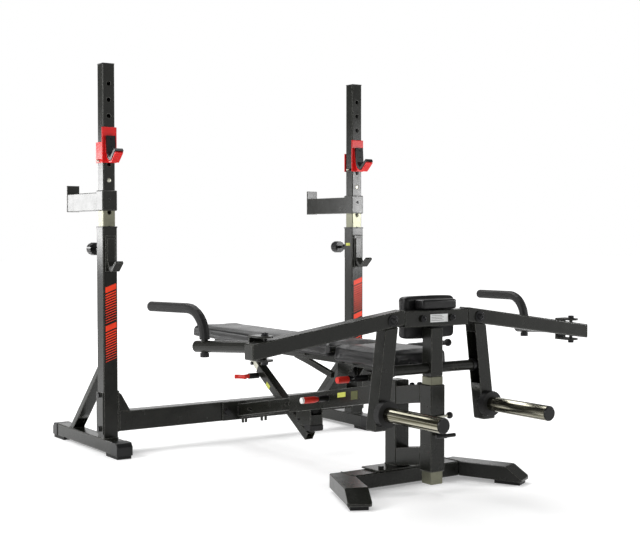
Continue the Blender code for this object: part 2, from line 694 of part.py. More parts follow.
def make_seat_post():
    """Column on the spine with a rear gusset and two cheeks that carry the hinge tube."""
    rear, front = -0.757, -0.810
    outline = [
        (rear, above_spine(rear)), (rear, 0.398), (front, 0.398), (front, above_spine(front)),
    ]
    column = plate("seat_post", "x", outline, (-0.025, 0.025), owner=BENCH)
    gusset = plate("seat_post_gusset", "x", [
        (rear - 0.002, above_spine(rear - 0.002)), (rear - 0.002, 0.355),
        (rear + 0.004, 0.352), (-0.686, above_spine(-0.686) + 0.002), (-0.684, above_spine(-0.684)),
    ], (-0.018, 0.018), owner=None)
    y, z = SEAT_AXIS
    cheek_outline = [(rear - 0.004, 0.340), (rear - 0.004, 0.396), (-0.832, 0.396),
                     (y + 0.0135, 0.412)]
    cheek_outline += circle_points((y, z), 0.0135, 0, 180, 6)
    cheek_outline += [(y - 0.0135, 0.396), (front - 0.006, 0.340)]
    cheeks = [
        plate(f"seat_post_cheek_{index}", "x", cheek_outline, span, owner=None)
        for index, span in enumerate(((-0.030, -0.0235), (0.0235, 0.030)))
    ]
    bore = cylinder("seat_post_bore", (-0.05, y, z), (0.05, y, z), HINGE_R + GAP, owner=None,
                    sides=20)
    hollow = box("seat_post_hollow", (-0.022, 0.022), (front + 0.004, rear - 0.008),
                 (0.28, 0.394), owner=None, bevel=0.0)
    cut(join(column, gusset, *cheeks), bore, hollow)


def make_hinge_tube():
    y, z = SEAT_AXIS
    tube = cylinder("hinge_tube", (-0.130, y, z), (0.130, y, z), HINGE_R, POWDER, BENCH, sides=20)
    plugs = [
        cylinder(f"hinge_tube_plug_{index}", (x * 0.129, y, z), (x * 0.1375, y, z), 0.0125,
                 owner=None, sides=20)
        for index, x in enumerate((-1, 1))
    ]
    join(tube, *plugs)


def make_seat_pin_bracket():
    """Small channel on the spine that carries the seat's pull pin."""
    name = "seat_pin_bracket"
    y0, y1 = -0.915, -0.965
    outline = ((y0, above_spine(y0)), (y0, 0.376), (y1, 0.376), (y1, above_spine(y1)))
    block = plate(name, "x", outline, (-0.030, 0.030), owner=BENCH)
    gap = box(name + "_gap", (-0.024, 0.024), (-0.98, -0.90), (above_spine(y1) + 0.005, 0.4),
              owner=None, bevel=0.0)
    barrel = pin_barrel(name + "_barrel", PIN_ROOT["seat"], BARREL["seat"])
    cut(join(block, barrel), gap, pin_bore(name + "_pin_bore", PIN_ROOT["seat"]))


def make_pull_pin(name, root, owner, barrel, cross_bar=False):
    """Locking pin that pulls out to the left by its red grip."""
    root = Vector(root)

    def at(distance, back=0.0):
        return root + Vector((-distance, back, 0.0))

    neck = barrel + 0.0005
    pin = cylinder(name, at(-0.0042), at(neck + 0.015), 0.005, GRIP_RED, owner, sides=12)
    if cross_bar:
        tools = [
            cylinder(name + "_grip", at(neck), at(neck + 0.032), 0.0085, owner=None,
                     end_radius=0.007, sides=14),
            rod(name + "_bar", [at(neck + 0.026, -0.022), at(neck + 0.029, -0.008),
                                at(neck + 0.040, 0.008), at(neck + 0.054, 0.018)],
                0.0085, owner=None, resolution=3),
        ]
    else:
        tools = [
            cylinder(name + "_grip", at(neck), at(neck + 0.0165), 0.0085, owner=None,
                     end_radius=0.0120, sides=16),
            cylinder(name + "_handle", at(neck + 0.016), at(neck + 0.065), 0.0120, owner=None,
                     sides=16),
            cylinder(name + "_tip", at(neck + 0.0645), at(neck + 0.072), 0.0112, owner=None,
                     sides=16),
        ]
    join(pin, *tools)


def rounded_pad(name, outline, z, owner, bevel):
    pad = plate(name, "z", outline, z, VINYL, owner)
    rounding = pad.modifiers.new("soft_edges", "BEVEL")
    rounding.width = bevel
    rounding.segments = 2
    rounding.limit_method = "ANGLE"
    rounding.angle_limit = math.radians(40)
    return pad


def pad_outline(front, back, front_half, back_half, front_r, back_r):
    """A pad's plan with rounded corners; its half width goes from front to back."""
    right = circle_points((front_half - front_r, front + front_r), front_r, 270, 360, 4)
    right += circle_points((back_half - back_r, back - back_r), back_r, 0, 90, 4)
    return right + [(-x, y) for x, y in right[::-1]]


def make_seat(owner):
    y, z = SEAT_AXIS
    rounded_pad("seat_pad", pad_outline(SEAT_Y[0], SEAT_Y[1], 0.130, 0.130, 0.030, 0.008),
                (PAD_BOTTOM + GAP, PAD_SURFACE), owner, 0.010)
    frame = box("seat_frame", (-0.100, 0.110), (-0.955, -0.905), (0.4035, PAD_BOTTOM),
                owner=owner, bevel=0.001)
    rails = [
        box(f"seat_frame_rail_{index}", around(x, 0.009), (-1.120, -0.880), (0.390, PAD_BOTTOM - 0.001),
            owner=None, bevel=0.001)
        for index, x in enumerate((-0.045, 0.045))
    ]
    rails.append(box("seat_frame_front_plate", (-0.095, 0.095), (-1.115, -1.075),
                     (0.4045, PAD_BOTTOM - 0.0005), owner=None, bevel=0.001))
    lugs = []
    for index, x in enumerate((-0.045, 0.045)):
        outline = [(-0.900, 0.391), (-0.900, 0.408), (y - 0.0155, 0.408)]
        outline += circle_points((y, z), 0.0155, 180, 0, 8)
        outline += [(y + 0.0155, 0.404), (y + 0.004, 0.391)]
        lugs.append(plate(f"seat_frame_lug_{index}", "x", outline, around(x, 0.007), owner=None))
    bore = cylinder("seat_frame_bore", (-0.1, y, z), (0.1, y, z), HINGE_R + GAP, owner=None,
                    sides=20)
    sector = plate("seat_frame_sector", "x", [
        (-0.905, 0.405), (-0.912, 0.350), (-0.945, 0.341), (-0.972, 0.352), (-0.985, 0.405),
    ], (-0.017, -0.011), owner=None)
    grip = rod("seat_frame_grip", rounded_path([
        (0.100, -0.930, 0.3990), (0.155, -0.930, 0.3990), (0.155, -0.935, 0.4560),
        (0.155, -1.160, 0.485)], 0.014, 4), 0.0085, owner=None, resolution=3)
    knob = ball("seat_frame_knob", (0.155, -1.160, 0.485), 0.0135, owner=None)
    cut(join(frame, *rails, *lugs, sector, grip, knob), bore)


def make_backrest(owner):
    y, z = SEAT_AXIS
    rounded_pad("backrest_pad",
                pad_outline(BACKREST_Y[0], BACKREST_Y[1], PAD_HALF_WIDTH, HEAD_HALF_WIDTH,
                            0.008, 0.030),
                (BACKREST_BOTTOM + GAP, PAD_SURFACE), owner, 0.010)
    rail_x, half = 0.070, 0.0125
    low, high = 0.3985, BACKREST_BOTTOM
    frame = box("backrest_frame", (-0.095, 0.095), (-0.030, 0.030), (high - 0.012, high),
                owner=owner, bevel=0.001)
    tools, hollows = [], []
    for index, x in enumerate((-rail_x, rail_x)):
        tools.append(box(f"backrest_frame_rail_{index}", around(x, half), (-0.845, 0.060),
                         (low, high - 0.0005), owner=None, bevel=0.001))
        hollows.append(box(f"backrest_frame_hollow_{index}", around(x, half - 0.0025),
                           (-0.780, 0.080), (low + 0.0025, high - 0.0030), owner=None, bevel=0.0))
        outline = [(-0.810, low + 0.001), (-0.810, high - 0.002), (y + 0.0155, high - 0.002)]
        outline += circle_points((y, z), 0.0155, 0, 180, 8)
        outline += [(y - 0.0155, high - 0.002), (y, low + 0.001)]
        tools.append(plate(f"backrest_frame_lug_{index}", "x", outline, around(x, 0.009),
                           owner=None))
        tools.append(plate(f"backrest_frame_stay_{index}", "x", strip_outline(
            [(-0.548, 0.4050), (-0.640, 0.386), (-0.788, 0.350)], 0.020), around(x, 0.008),
            owner=None))
    top_y, top_z = STRUT_TOP
    cross = box("backrest_frame_cross", (-0.068, 0.068), around(top_y, 0.022),
                (high - 0.012, high - 0.001), owner=None, bevel=0.0)
    tools.append(box("backrest_frame_low_cross", (-0.095, 0.095), (-0.640, -0.600),
                     (high - 0.012, high), owner=None, bevel=0.001))
    lug_outline = [(top_y + 0.020, high - 0.008)]
    lug_outline += circle_points((top_y, top_z), 0.013, 0, -180, 6)
    lug_outline += [(top_y - 0.020, high - 0.008)]
    lug = plate("backrest_frame_strut_lug", "x", lug_outline, (-0.004, 0.004), owner=None)
    bore = cylinder("backrest_frame_bore", (-0.1, y, z), (0.1, y, z), HINGE_R + GAP, owner=None,
                    sides=20)
    cut(join(frame, *tools, cross, lug), bore, *hollows)


seat_body = body("seat_body", (0.0, *SEAT_AXIS), BENCH)
backrest_body = body("backrest_body", (0.0, *SEAT_AXIS), BENCH)
make_seat_post()
make_hinge_tube()
make_seat_pin_bracket()
make_seat(seat_body)
make_backrest(backrest_body)
for pin_name, pin_parent in (("spine", BENCH), ("seat", BENCH)):
    pin_body = body(f"{pin_name}_pin_body", PIN_ROOT[pin_name], pin_parent)
    make_pull_pin(f"{pin_name}_pull_pin", PIN_ROOT[pin_name], pin_body, BARREL[pin_name])


# ---------------------------------------------------------------- backrest strut
STRUT_DOWN = Vector((-math.cos(STRUT_ANGLE), -math.sin(STRUT_ANGLE)))
STRUT_UP_FACE = Vector((-math.sin(STRUT_ANGLE), math.cos(STRUT_ANGLE)))


def strut_point(distance, depth):
    """(y, z) at a distance up the strut from its lower end and a depth above its lower face."""
    return Vector(STRUT_LOW_POINT) - STRUT_DOWN * distance + STRUT_UP_FACE * depth


def strut_outline(start, end, low, high):
    return (strut_point(start, low), strut_point(end, low), strut_point(end, high),
            strut_point(start, high))


STRUT_OUTER_LENGTH, STRUT_INNER_END = 0.425, 0.492


def make_strut_outer(owner):
    y, z = STRUT_PIVOT
    half = STRUT_WIDTH / 2
    outer = plate("strut_outer", "x", strut_outline(0.0, STRUT_OUTER_LENGTH, 0.0, STRUT_DEPTH),
                  (-half, half), owner=owner, bevel=0.002)
    along = (Vector(STRUT_PIVOT) - Vector(STRUT_LOW_POINT)).dot(-STRUT_DOWN)
    ear_outline = [strut_point(along - 0.016, STRUT_DEPTH - 0.002)]
    ear_outline += [strut_point(along + 0.016, STRUT_DEPTH - 0.002)]
    for step in range(7):
        turn = math.pi * step / 6
        rim = STRUT_UP_FACE * math.sin(turn) - STRUT_DOWN * math.cos(turn)
        ear_outline.append(Vector(STRUT_PIVOT) + rim * 0.014)
    ear = plate("strut_outer_ear", "x", ear_outline, (-half + 0.001, half - 0.001), owner=None)
    barrel = pin_barrel("strut_outer_barrel", PIN_ROOT["strut"], BARREL["strut"])
    bore = plate("strut_outer_bore", "x",
                 strut_outline(-0.02, STRUT_OUTER_LENGTH + 0.02, 0.003, STRUT_DEPTH - 0.003),
                 (-half + 0.003, half - 0.003), owner=None)
    pivot = cylinder("strut_outer_pivot", (-0.04, y, z), (0.04, y, z), 0.0053, owner=None,
                     sides=12)
    cut(join(outer, ear, barrel), bore, pivot, pin_bore("strut_outer_pin_bore", PIN_ROOT["strut"]))


def make_strut_inner(owner):
    """Plated inner tube whose forked top meets the backrest's lug."""
    half = STRUT_WIDTH / 2 - 0.003 - SLIDE_GAP
    low, high = 0.003 + SLIDE_GAP, STRUT_DEPTH - 0.003 - SLIDE_GAP
    inner = plate("strut_inner", "x", strut_outline(0.006, STRUT_INNER_END, low, high),
                  (-half, half), ZINC, owner, bevel=0.002)
    fork = plate("strut_inner_fork", "x",
                 strut_outline(STRUT_INNER_END - 0.080, STRUT_INNER_END + 0.02, -0.02, 0.06),
                 (-0.0070, 0.0070), owner=None)
    hollow = plate("strut_inner_hollow", "x",
                   strut_outline(-0.02, STRUT_INNER_END - 0.10, low + 0.0025, high - 0.0025),
                   (-half + 0.0025, half - 0.0025), owner=None)
    y, z = STRUT_TOP
    heads = [
        cylinder(f"strut_inner_bolt_{index}", (x * (half - 0.002), y, z),
                 (x * (half + 0.0045), y, z), 0.007, owner=None, sides=12)
        for index, x in enumerate((-1, 1))
    ]
    cut(join(inner, *heads), fork, hollow)


strut_body = body("strut_body", (0.0, *STRUT_PIVOT), BENCH)
strut_slide_body = body("strut_slide_body", (0.0, *STRUT_TOP), strut_body)
make_strut_outer(strut_body)
make_strut_inner(strut_slide_body)
strut_pin_body = body("strut_pin_body", PIN_ROOT["strut"], strut_body)
make_pull_pin("strut_pull_pin", PIN_ROOT["strut"], strut_pin_body, BARREL["strut"],
              cross_bar=True)


# ---------------------------------------------------------------- lift post and lever
def make_lift_post(owner):
    y = FRONT_POST_Y
    post = box("lift_post", around(0.0, POST / 2), around(y, POST / 2), (0.033, 0.390),
               ZINC, owner, bevel=0.002)
    hollow = box("lift_post_hollow", around(0.0, 0.022), around(y, 0.022), (0.02, 0.386),
                 owner=None, bevel=0.0)
    cut(post, hollow)
    head = box("lift_head", around(0.0, 0.0245), around(y, 0.0245), (0.3903, 0.550),
               owner=owner, bevel=0.002)
    bore = cylinder("lift_head_bore", (-0.05, *LEVER_AXIS), (0.05, *LEVER_AXIS),
                    PIVOT_R + GAP, owner=None, sides=24)
    cavity = box("lift_head_hollow", around(0.0, 0.0215), around(y, 0.0215), (0.394, 0.546),
                 owner=None, bevel=0.0)
    cut(head, cavity, bore)


def arm_top(x):
    return 0.605 - ARM_DROP * (abs(x) - 0.2)


def arm_bottom(x):
    return 0.556 - ARM_DROP * (abs(x) - 0.2)


def make_lever_beam(owner):
    beam = box("lever_beam", (-LEVER_BEAM_X, LEVER_BEAM_X), LEVER_Y, LEVER_BEAM_Z, owner=owner)
    hollow = box("lever_beam_hollow", (-LEVER_BEAM_X - 0.01, LEVER_BEAM_X + 0.01),
                 (LEVER_Y[0] + 0.003, LEVER_Y[1] - 0.003),
                 (LEVER_BEAM_Z[0] + 0.003, LEVER_BEAM_Z[1] - 0.003), owner=None, bevel=0.0)
    bolts = [
        cylinder(f"lever_beam_bolt_{index}", (x, LEVER_Y[0] + 0.002, 0.583),
                 (x, LEVER_Y[0] - 0.006, 0.583), 0.0075, owner=None, sides=12)
        for index, x in enumerate((-0.062, 0.062))
    ]
    cut(join(beam, *bolts), hollow)


def make_lever_arm(name, side, owner):
    """Arm that falls outwards from the beam, with the bolt that holds the leg and the beam."""
    start, tip = LEVER_BEAM_X + GAP, ARM_TIP_X
    outline = [(side * x, z) for x, z in (
        (start, arm_bottom(start)), (start, arm_top(start)), (tip, arm_top(tip)),
        (tip, arm_bottom(tip)))]
    arm = plate(name, "y", outline, LEVER_Y, owner=owner, bevel=0.003)
    wall = 0.003
    inner = [(side * x, z) for x, z in (
        (start - 0.01, arm_bottom(start) + wall), (start - 0.01, arm_top(start) - wall),
        (tip - 0.008, arm_top(tip - 0.008) - wall), (tip - 0.008, arm_bottom(tip - 0.008) + wall))]
    hollow = plate(name + "_hollow", "y", inner, (LEVER_Y[0] + wall, LEVER_Y[1] - wall),
                   owner=None)
    washer = cylinder(name + "_washer", (side * 0.184, LEVER_Y[0] + 0.002, 0.581),
                      (side * 0.184, LEVER_Y[0] - 0.003, 0.581), 0.0185, owner=None, sides=18)
    bolt = cylinder(name + "_bolt", (side * 0.184, LEVER_Y[0], 0.581),
                    (side * 0.184, LEVER_Y[0] - 0.011, 0.581), 0.010, owner=None, sides=12)
    swivel = cylinder(name + "_swivel_bore", (side * CLEVIS_X, CLEVIS_Y, 0.46),
                      (side * CLEVIS_X, CLEVIS_Y, 0.58), 0.0064, owner=None, sides=14)
    cut(join(arm, washer, bolt), hollow, swivel)


def make_lever_leg(name, side, owner):
    """Leg from the arm down to the weight horn, splayed outwards."""
    top_in, top_out = 0.163, 0.213
    low_in, low_out, low_z = 0.2050, 0.2560, 0.230
    corners = (
        (top_in, arm_bottom(top_in) - GAP), (low_in, low_z), (low_out, low_z),
        (top_out, arm_bottom(top_out) - GAP),
    )
    leg = plate(name, "y", [(side * x, z) for x, z in corners], LEVER_Y, owner=owner, bevel=0.003)
    wall = 0.003
    inner = (
        (top_in + wall, 0.53), (low_in + wall - 0.003, 0.235), (low_out - wall, 0.235),
        (top_out - wall + 0.003, 0.53),
    )
    hollow = plate(name + "_hollow", "y", [(side * x, z) for x, z in inner],
                   (LEVER_Y[0] + wall, LEVER_Y[1] - wall), owner=None)
    drain = cylinder(name + "_drain", (side * 0.2295, -1.265, 0.22), (side * 0.2295, -1.265, 0.24),
                     0.006, owner=None, sides=10)
    cut(leg, hollow, drain)


def make_pivot_tube(owner):
    y, z = LEVER_AXIS
    half = 0.1788
    tube = cylinder("pivot_tube", (-half, y, z), (half, y, z), PIVOT_R, POWDER, owner, sides=24)
    collars = [
        cylinder(f"pivot_tube_collar_{index}", (x * (half - 0.012), y, z), (x * half, y, z),
                 0.0205, owner=None, sides=24)
        for index, x in enumerate((-1, 1))
    ]
    hollow = cylinder("pivot_tube_hollow", (-half - 0.01, y, z), (half + 0.01, y, z),
                      PIVOT_R - 0.003, owner=None, sides=16)
    cut(join(tube, *collars), hollow)


def make_weight_horn(name, side, owner):
    """Plated horn for weight plates with a rubber ring against the leg and an end plug."""
    x = side * HORN_X
    tip, root = HORN_Y
    horn = cylinder(name, (x, tip + 0.004, HORN_Z), (x, root + 0.002, HORN_Z), HORN_R, CHROME,
                    owner, sides=28)
    ring = cylinder(name + "_ring", (x, root, HORN_Z), (x, LEVER_Y[0] - GAP, HORN_Z), 0.0425,
                    owner=None, sides=28)
    plug = cylinder(name + "_plug", (x, tip + 0.006, HORN_Z), (x, tip, HORN_Z), HORN_R - 0.0006,
                    owner=None, end_radius=HORN_R - 0.003, sides=28)
    hollow = cylinder(name + "_hollow", (x, tip + 0.012, HORN_Z), (x, LEVER_Y[0] + 0.01, HORN_Z),
                      HORN_R - 0.003, owner=None, sides=20)
    cut(join(horn, ring, plug), hollow)


def make_chest_pad(owner):
    back = LEVER_Y[1] + GAP
    pad = box("chest_pad", (-0.098, 0.124), (back, -1.190), (0.510, 0.656), VINYL, owner,
              bevel=0.012)
    block = box("chest_pad_block", (-0.058, 0.092), (-1.286, back + 0.004),
                (LEVER_BEAM_Z[1] + GAP, 0.646), owner=None, bevel=0.004)
    join(pad, block)


def make_forearm(name, side, owner):
    """Clevis round the arm's tip, its bolt, and the tube that carries the handle."""
    x, y = side * CLEVIS_X, CLEVIS_Y
    plates_z = ((0.4770, 0.4830), (0.5480, 0.5540))
    web = box(name, around(x, 0.025), (-1.213, -1.207), (0.4775, 0.5535), owner=owner,
              bevel=0.001)
    outline = [(-0.025, -1.2080)] + [
        (u, v) for u, v in circle_points((0.0, y), 0.025, 180, 360, 10)] + [(0.025, -1.2080)]
    tools = [
        plate(f"{name}_clevis_{index}", "z", [(x + u, v) for u, v in outline], span, owner=None)
        for index, span in enumerate(plates_z)
    ]
    tools.append(cylinder(name + "_bolt", (x, y, 0.468), (x, y, 0.562), 0.006, owner=None,
                          sides=14))
    tools.append(cylinder(name + "_bolt_head", (x, y, 0.553), (x, y, 0.564), 0.0105, owner=None,
                          sides=12))
    tools.append(cylinder(name + "_nut", (x, y, 0.478), (x, y, 0.467), 0.0105, owner=None,
                          sides=12))
    start, end = (Vector((side * place[0], place[1], place[2]))
                  for place in (FOREARM_START, FOREARM_END))
    along = (end - start).normalized()
    tools.append(cylinder(name + "_tube", start, end, FOREARM_R, owner=None, sides=18))
    tools.append(cylinder(name + "_end", end - along * 0.003, end + along * 0.006,
                          FOREARM_R - 0.0005, owner=None, end_radius=0.0115, sides=18))
    hollow = cylinder(name + "_hollow", start + along * 0.008, end - along * 0.005,
                      FOREARM_R - 0.003, owner=None, sides=12)
    shaft = cylinder(name + "_shaft_bore", (side * HANDLE_X, HANDLE_Y, 0.45),
                     (side * HANDLE_X, HANDLE_Y, 0.55), 0.0113, owner=None, sides=18)
    cut(join(web, *tools), hollow, shaft)


def make_handle(name, side, owner):
    """Bent grip whose shaft turns in the forearm, held by a plug below."""
    x, y = side * HANDLE_X, HANDLE_Y
    corners = ((x, y, 0.5245), (x, y, 0.621), (side * 0.735, -0.676, 0.616))
    grip = rod(name, rounded_path(corners, 0.090, 8), 0.0168, PLASTIC, owner, resolution=4)
    shaft = cylinder(name + "_shaft", (x, y, 0.470), (x, y, 0.535), 0.0110, owner=None, sides=18)
    plug = cylinder(name + "_plug", (x, y, 0.468), (x, y, 0.4815), 0.0145, owner=None, sides=18)
    join(grip, shaft, plug)


def make_height_lock_pin(owner):
    face = FRONT_POST_Y - SLEEVE / 2
    pin = cylinder("height_lock_pin", (0.0, face + 0.0035, 0.257), (0.0, face - 0.008, 0.257),
                   0.005, ZINC, owner, sides=12)
    bar = cylinder("height_lock_pin_bar", (-0.030, face - 0.007, 0.2565),
                   (0.038, face - 0.007, 0.2603), 0.0045, owner=None, sides=12)
    knob = ball("height_lock_pin_knob", (0.043, face - 0.007, 0.2606), 0.0115, owner=None)
    join(pin, bar, knob)


def make_clamp_handle(owner):
    face = FRONT_POST_Y - SLEEVE / 2
    stem = cylinder("clamp_handle", (0.0, face + 0.0035, 0.200), (0.0, face - 0.040, 0.200),
                    0.0080, PLASTIC, owner, sides=14)
    bar = cylinder("clamp_handle_bar", (-0.040, face - 0.037, 0.200),
                   (0.040, face - 0.037, 0.200), 0.0065, owner=None, sides=12)
    join(stem, bar)


lift_body = body("lift_body", (0.0, FRONT_POST_Y, FRONT_SLEEVE_Z[1]), BENCH)
lever_body = body("lever_body", (0.0, *LEVER_AXIS), lift_body)
lock_body = body("lock_pin_body", (0.0, FRONT_POST_Y - SLEEVE / 2, 0.257), BENCH)
clamp_body = body("clamp_body", (0.0, FRONT_POST_Y - SLEEVE / 2, 0.200), BENCH)
make_lift_post(lift_body)
make_lever_beam(lever_body)
make_pivot_tube(lever_body)
make_chest_pad(lever_body)
make_height_lock_pin(lock_body)
make_clamp_handle(clamp_body)
for side_name, side in SIDES:
    make_lever_arm(f"{side_name}_lever_arm", side, lever_body)
    make_lever_leg(f"{side_name}_lever_leg", side, lever_body)
    make_weight_horn(f"{side_name}_weight_horn", side, lever_body)
    forearm_body = body(f"{side_name}_forearm_body", (side * CLEVIS_X, CLEVIS_Y, 0.5155),
                        lever_body)
    handle_body = body(f"{side_name}_handle_body", (side * HANDLE_X, HANDLE_Y, 0.502),
                       forearm_body)
    make_forearm(f"{side_name}_forearm", side, forearm_body)
    make_handle(f"{side_name}_handle", side, handle_body)
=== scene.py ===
import math

import bmesh
import bpy
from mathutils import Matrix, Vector


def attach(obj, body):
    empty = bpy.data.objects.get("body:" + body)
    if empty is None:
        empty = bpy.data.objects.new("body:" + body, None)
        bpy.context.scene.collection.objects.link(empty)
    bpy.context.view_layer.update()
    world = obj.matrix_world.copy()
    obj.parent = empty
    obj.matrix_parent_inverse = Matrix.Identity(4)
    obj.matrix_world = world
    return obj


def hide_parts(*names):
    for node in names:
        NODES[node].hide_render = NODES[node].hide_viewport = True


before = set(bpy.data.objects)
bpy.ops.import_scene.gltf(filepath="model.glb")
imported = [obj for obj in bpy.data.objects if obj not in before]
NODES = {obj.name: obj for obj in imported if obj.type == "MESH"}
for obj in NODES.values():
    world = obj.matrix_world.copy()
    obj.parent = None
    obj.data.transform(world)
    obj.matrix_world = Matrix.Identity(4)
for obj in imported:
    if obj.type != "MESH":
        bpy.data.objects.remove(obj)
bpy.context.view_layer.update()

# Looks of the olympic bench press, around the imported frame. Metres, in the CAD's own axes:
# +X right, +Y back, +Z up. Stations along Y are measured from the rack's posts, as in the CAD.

RACK_Y = 0.548
SIDES = (("left", -1), ("right", 1))
POST_X = 0.592              # centre of each post and sleeve
SLEEVE_FRONT = 0.0302       # a sleeve's front face, ahead of its post's centre
SPINE_FACE = -0.0302        # the left face of the spine's sleeve
BEAM_FRONT = -1.2902        # front face of the lever's beam
EDGE_HIGHLIGHT = 0.8             # how strongly a painted highlight lightens the coat along its edges
LINK_SLOPE = 0.147          # rise of the stand's upper link towards the front


def at(x, y, z):
    """A point at a station y measured from the rack's posts."""
    return Vector((x, y + RACK_Y, z))


# ---------------------------------------------------------------- camera, light, floor
def make_camera():
    data = bpy.data.cameras.new("camera")
    data.lens = 67.08
    camera = bpy.data.objects.new("camera", data)
    camera.location = (-2.518, -3.756, 0.8632)
    camera.rotation_euler = (math.radians(88.016), 0.0, math.radians(-34.238))
    bpy.context.scene.collection.objects.link(camera)
    bpy.context.scene.camera = camera


def make_lamp(name, place, target, size, power):
    data = bpy.data.lights.new(name, "AREA")
    data.shape = "RECTANGLE"
    data.size, data.size_y = size
    data.energy = power
    lamp = bpy.data.objects.new(name, data)
    lamp.location = place
    lamp.rotation_euler = (Vector(target) - Vector(place)).to_track_quat("-Z", "Y").to_euler()
    lamp.visible_camera = False
    bpy.context.scene.collection.objects.link(lamp)


def make_world():
    """A white room: as bright as paper where it shows, dimmer as a source of light."""
    world = bpy.data.worlds.new("studio")
    bpy.context.scene.world = world
    world.use_nodes = True
    tree = world.node_tree
    tree.nodes.clear()
    out = tree.nodes.new("ShaderNodeOutputWorld")
    mix = tree.nodes.new("ShaderNodeMixShader")
    paths = tree.nodes.new("ShaderNodeLightPath")
    for slot, strength in ((1, 0.21), (2, 1.0)):
        background = tree.nodes.new("ShaderNodeBackground")
        background.inputs["Color"].default_value = (1.0, 1.0, 1.0, 1.0)
        background.inputs["Strength"].default_value = strength
        tree.links.new(background.outputs[0], mix.inputs[slot])
    tree.links.new(paths.outputs["Is Camera Ray"], mix.inputs[0])
    tree.links.new(mix.outputs[0], out.inputs[0])


def make_floor():
    mesh = bpy.data.meshes.new("floor")
    work = bmesh.new()
    bmesh.ops.create_grid(work, x_segments=1, y_segments=1, size=30.0)
    work.to_mesh(mesh)
    work.free()
    floor = bpy.data.objects.new("floor", mesh)
    bpy.context.scene.collection.objects.link(floor)
    paper = bpy.data.materials.new("paper_floor")
    paper.use_nodes = True
    tree = paper.node_tree
    shader = tree.nodes["Principled BSDF"]
    shader.inputs["Base Color"].default_value = (0.86, 0.86, 0.86, 1.0)
    shader.inputs["Roughness"].default_value = 0.9
    shader.inputs["Specular IOR Level"].default_value = 0.1
    shader.inputs["Emission Color"].default_value = (1.0, 1.0, 1.0, 1.0)
    place = tree.nodes.new("ShaderNodeTexCoord")
    distance = tree.nodes.new("ShaderNodeVectorMath")
    distance.operation = "LENGTH"
    rise = tree.nodes.new("ShaderNodeMapRange")
    for socket, number in (("From Min", 1.6), ("From Max", 4.5), ("To Min", 0.28),
                           ("To Max", 1.0)):
        rise.inputs[socket].default_value = number
    tree.links.new(place.outputs["Object"], distance.inputs[0])
    tree.links.new(distance.outputs["Value"], rise.inputs["Value"])
    tree.links.new(rise.outputs[0], shader.inputs["Emission Strength"])
    mesh.materials.append(paper)


make_camera()
make_world()
make_floor()
make_lamp("left_softbox", (-4.2, 0.2, 2.3), (0.0, 0.0, 0.6), (2.6, 2.6), 150.0)
make_lamp("top_softbox", (0.3, 1.6, 3.6), (0.0, 0.1, 0.4), (3.4, 2.6), 120.0)
make_lamp("front_fill", (1.6, -4.4, 1.8), (0.0, 0.0, 0.7), (2.2, 1.6), 10.0)
make_lamp("back_left_panel", (-1.58, 2.70, 1.03), (-0.62, 0.55, 1.0), (0.75, 0.56), 15.0)
make_lamp("front_right_panel", (2.15, -1.60, 1.03), (0.59, 0.52, 0.98), (0.45, 0.52), 34.0)
make_lamp("back_right_softbox", (2.9, 5.6, 1.4), (0.0, 0.0, 0.3), (5.0, 2.2), 34.0)
bpy.context.scene.view_settings.view_transform = "Standard"


# ---------------------------------------------------------------- materials
class Nodes:
    """Short calls for a material's node tree."""

    def __init__(self, tree):
        self.tree = tree

    def add(self, kind, **values):
        made = self.tree.nodes.new(kind)
        for name, value in values.items():
            setattr(made, name, value)
        return made

    def feed(self, socket, value):
        if isinstance(value, bpy.types.NodeSocket):
            self.tree.links.new(value, socket)
        else:
            socket.default_value = value

    def math(self, operation, *values):
        made = self.add("ShaderNodeMath", operation=operation)
        for socket, value in zip(made.inputs, values):
            self.feed(socket, value)
        return made.outputs[0]

    def noise(self, vector, scale, detail=3.0, roughness=0.5):
        made = self.add("ShaderNodeTexNoise")
        self.feed(made.inputs["Vector"], vector)
        made.inputs["Scale"].default_value = scale
        made.inputs["Detail"].default_value = detail
        made.inputs["Roughness"].default_value = roughness
        return made.outputs["Fac"]

    def stretched(self, vector, scale):
        made = self.add("ShaderNodeMapping")
        self.feed(made.inputs["Vector"], vector)
        made.inputs["Scale"].default_value = scale
        return made.outputs[0]

    def spread(self, value, low, high, frm=0.3, to=0.7):
        made = self.add("ShaderNodeMapRange")
        self.feed(made.inputs["Value"], value)
        for name, number in (("From Min", frm), ("From Max", to), ("To Min", low),
                             ("To Max", high)):
            made.inputs[name].default_value = number
        return made.outputs[0]

    def mix(self, factor, first, second):
        made = self.add("ShaderNodeMix", data_type="RGBA")
        self.feed(made.inputs[0], factor)
        for socket, value in ((made.inputs[6], first), (made.inputs[7], second)):
            self.feed(socket, value if isinstance(value, bpy.types.NodeSocket) else (*value, 1.0))
        return made.outputs[2]

    def mix_number(self, factor, first, second):
        made = self.add("ShaderNodeMix", data_type="FLOAT")
        for socket, value in zip((made.inputs[0], made.inputs[2], made.inputs[3]),
                                 (factor, first, second)):
            self.feed(socket, value)
        return made.outputs[0]

    def inside(self, parts, ranges):
        """1 inside a box of (low, high) ranges per axis, None where the axis doesn't matter."""
        found = None
        for part, span in zip(parts, ranges):
            if span is None:
                continue
            test = self.math("COMPARE", part, sum(span) / 2, (span[1] - span[0]) / 2)
            found = test if found is None else self.math("MULTIPLY", found, test)
        return found


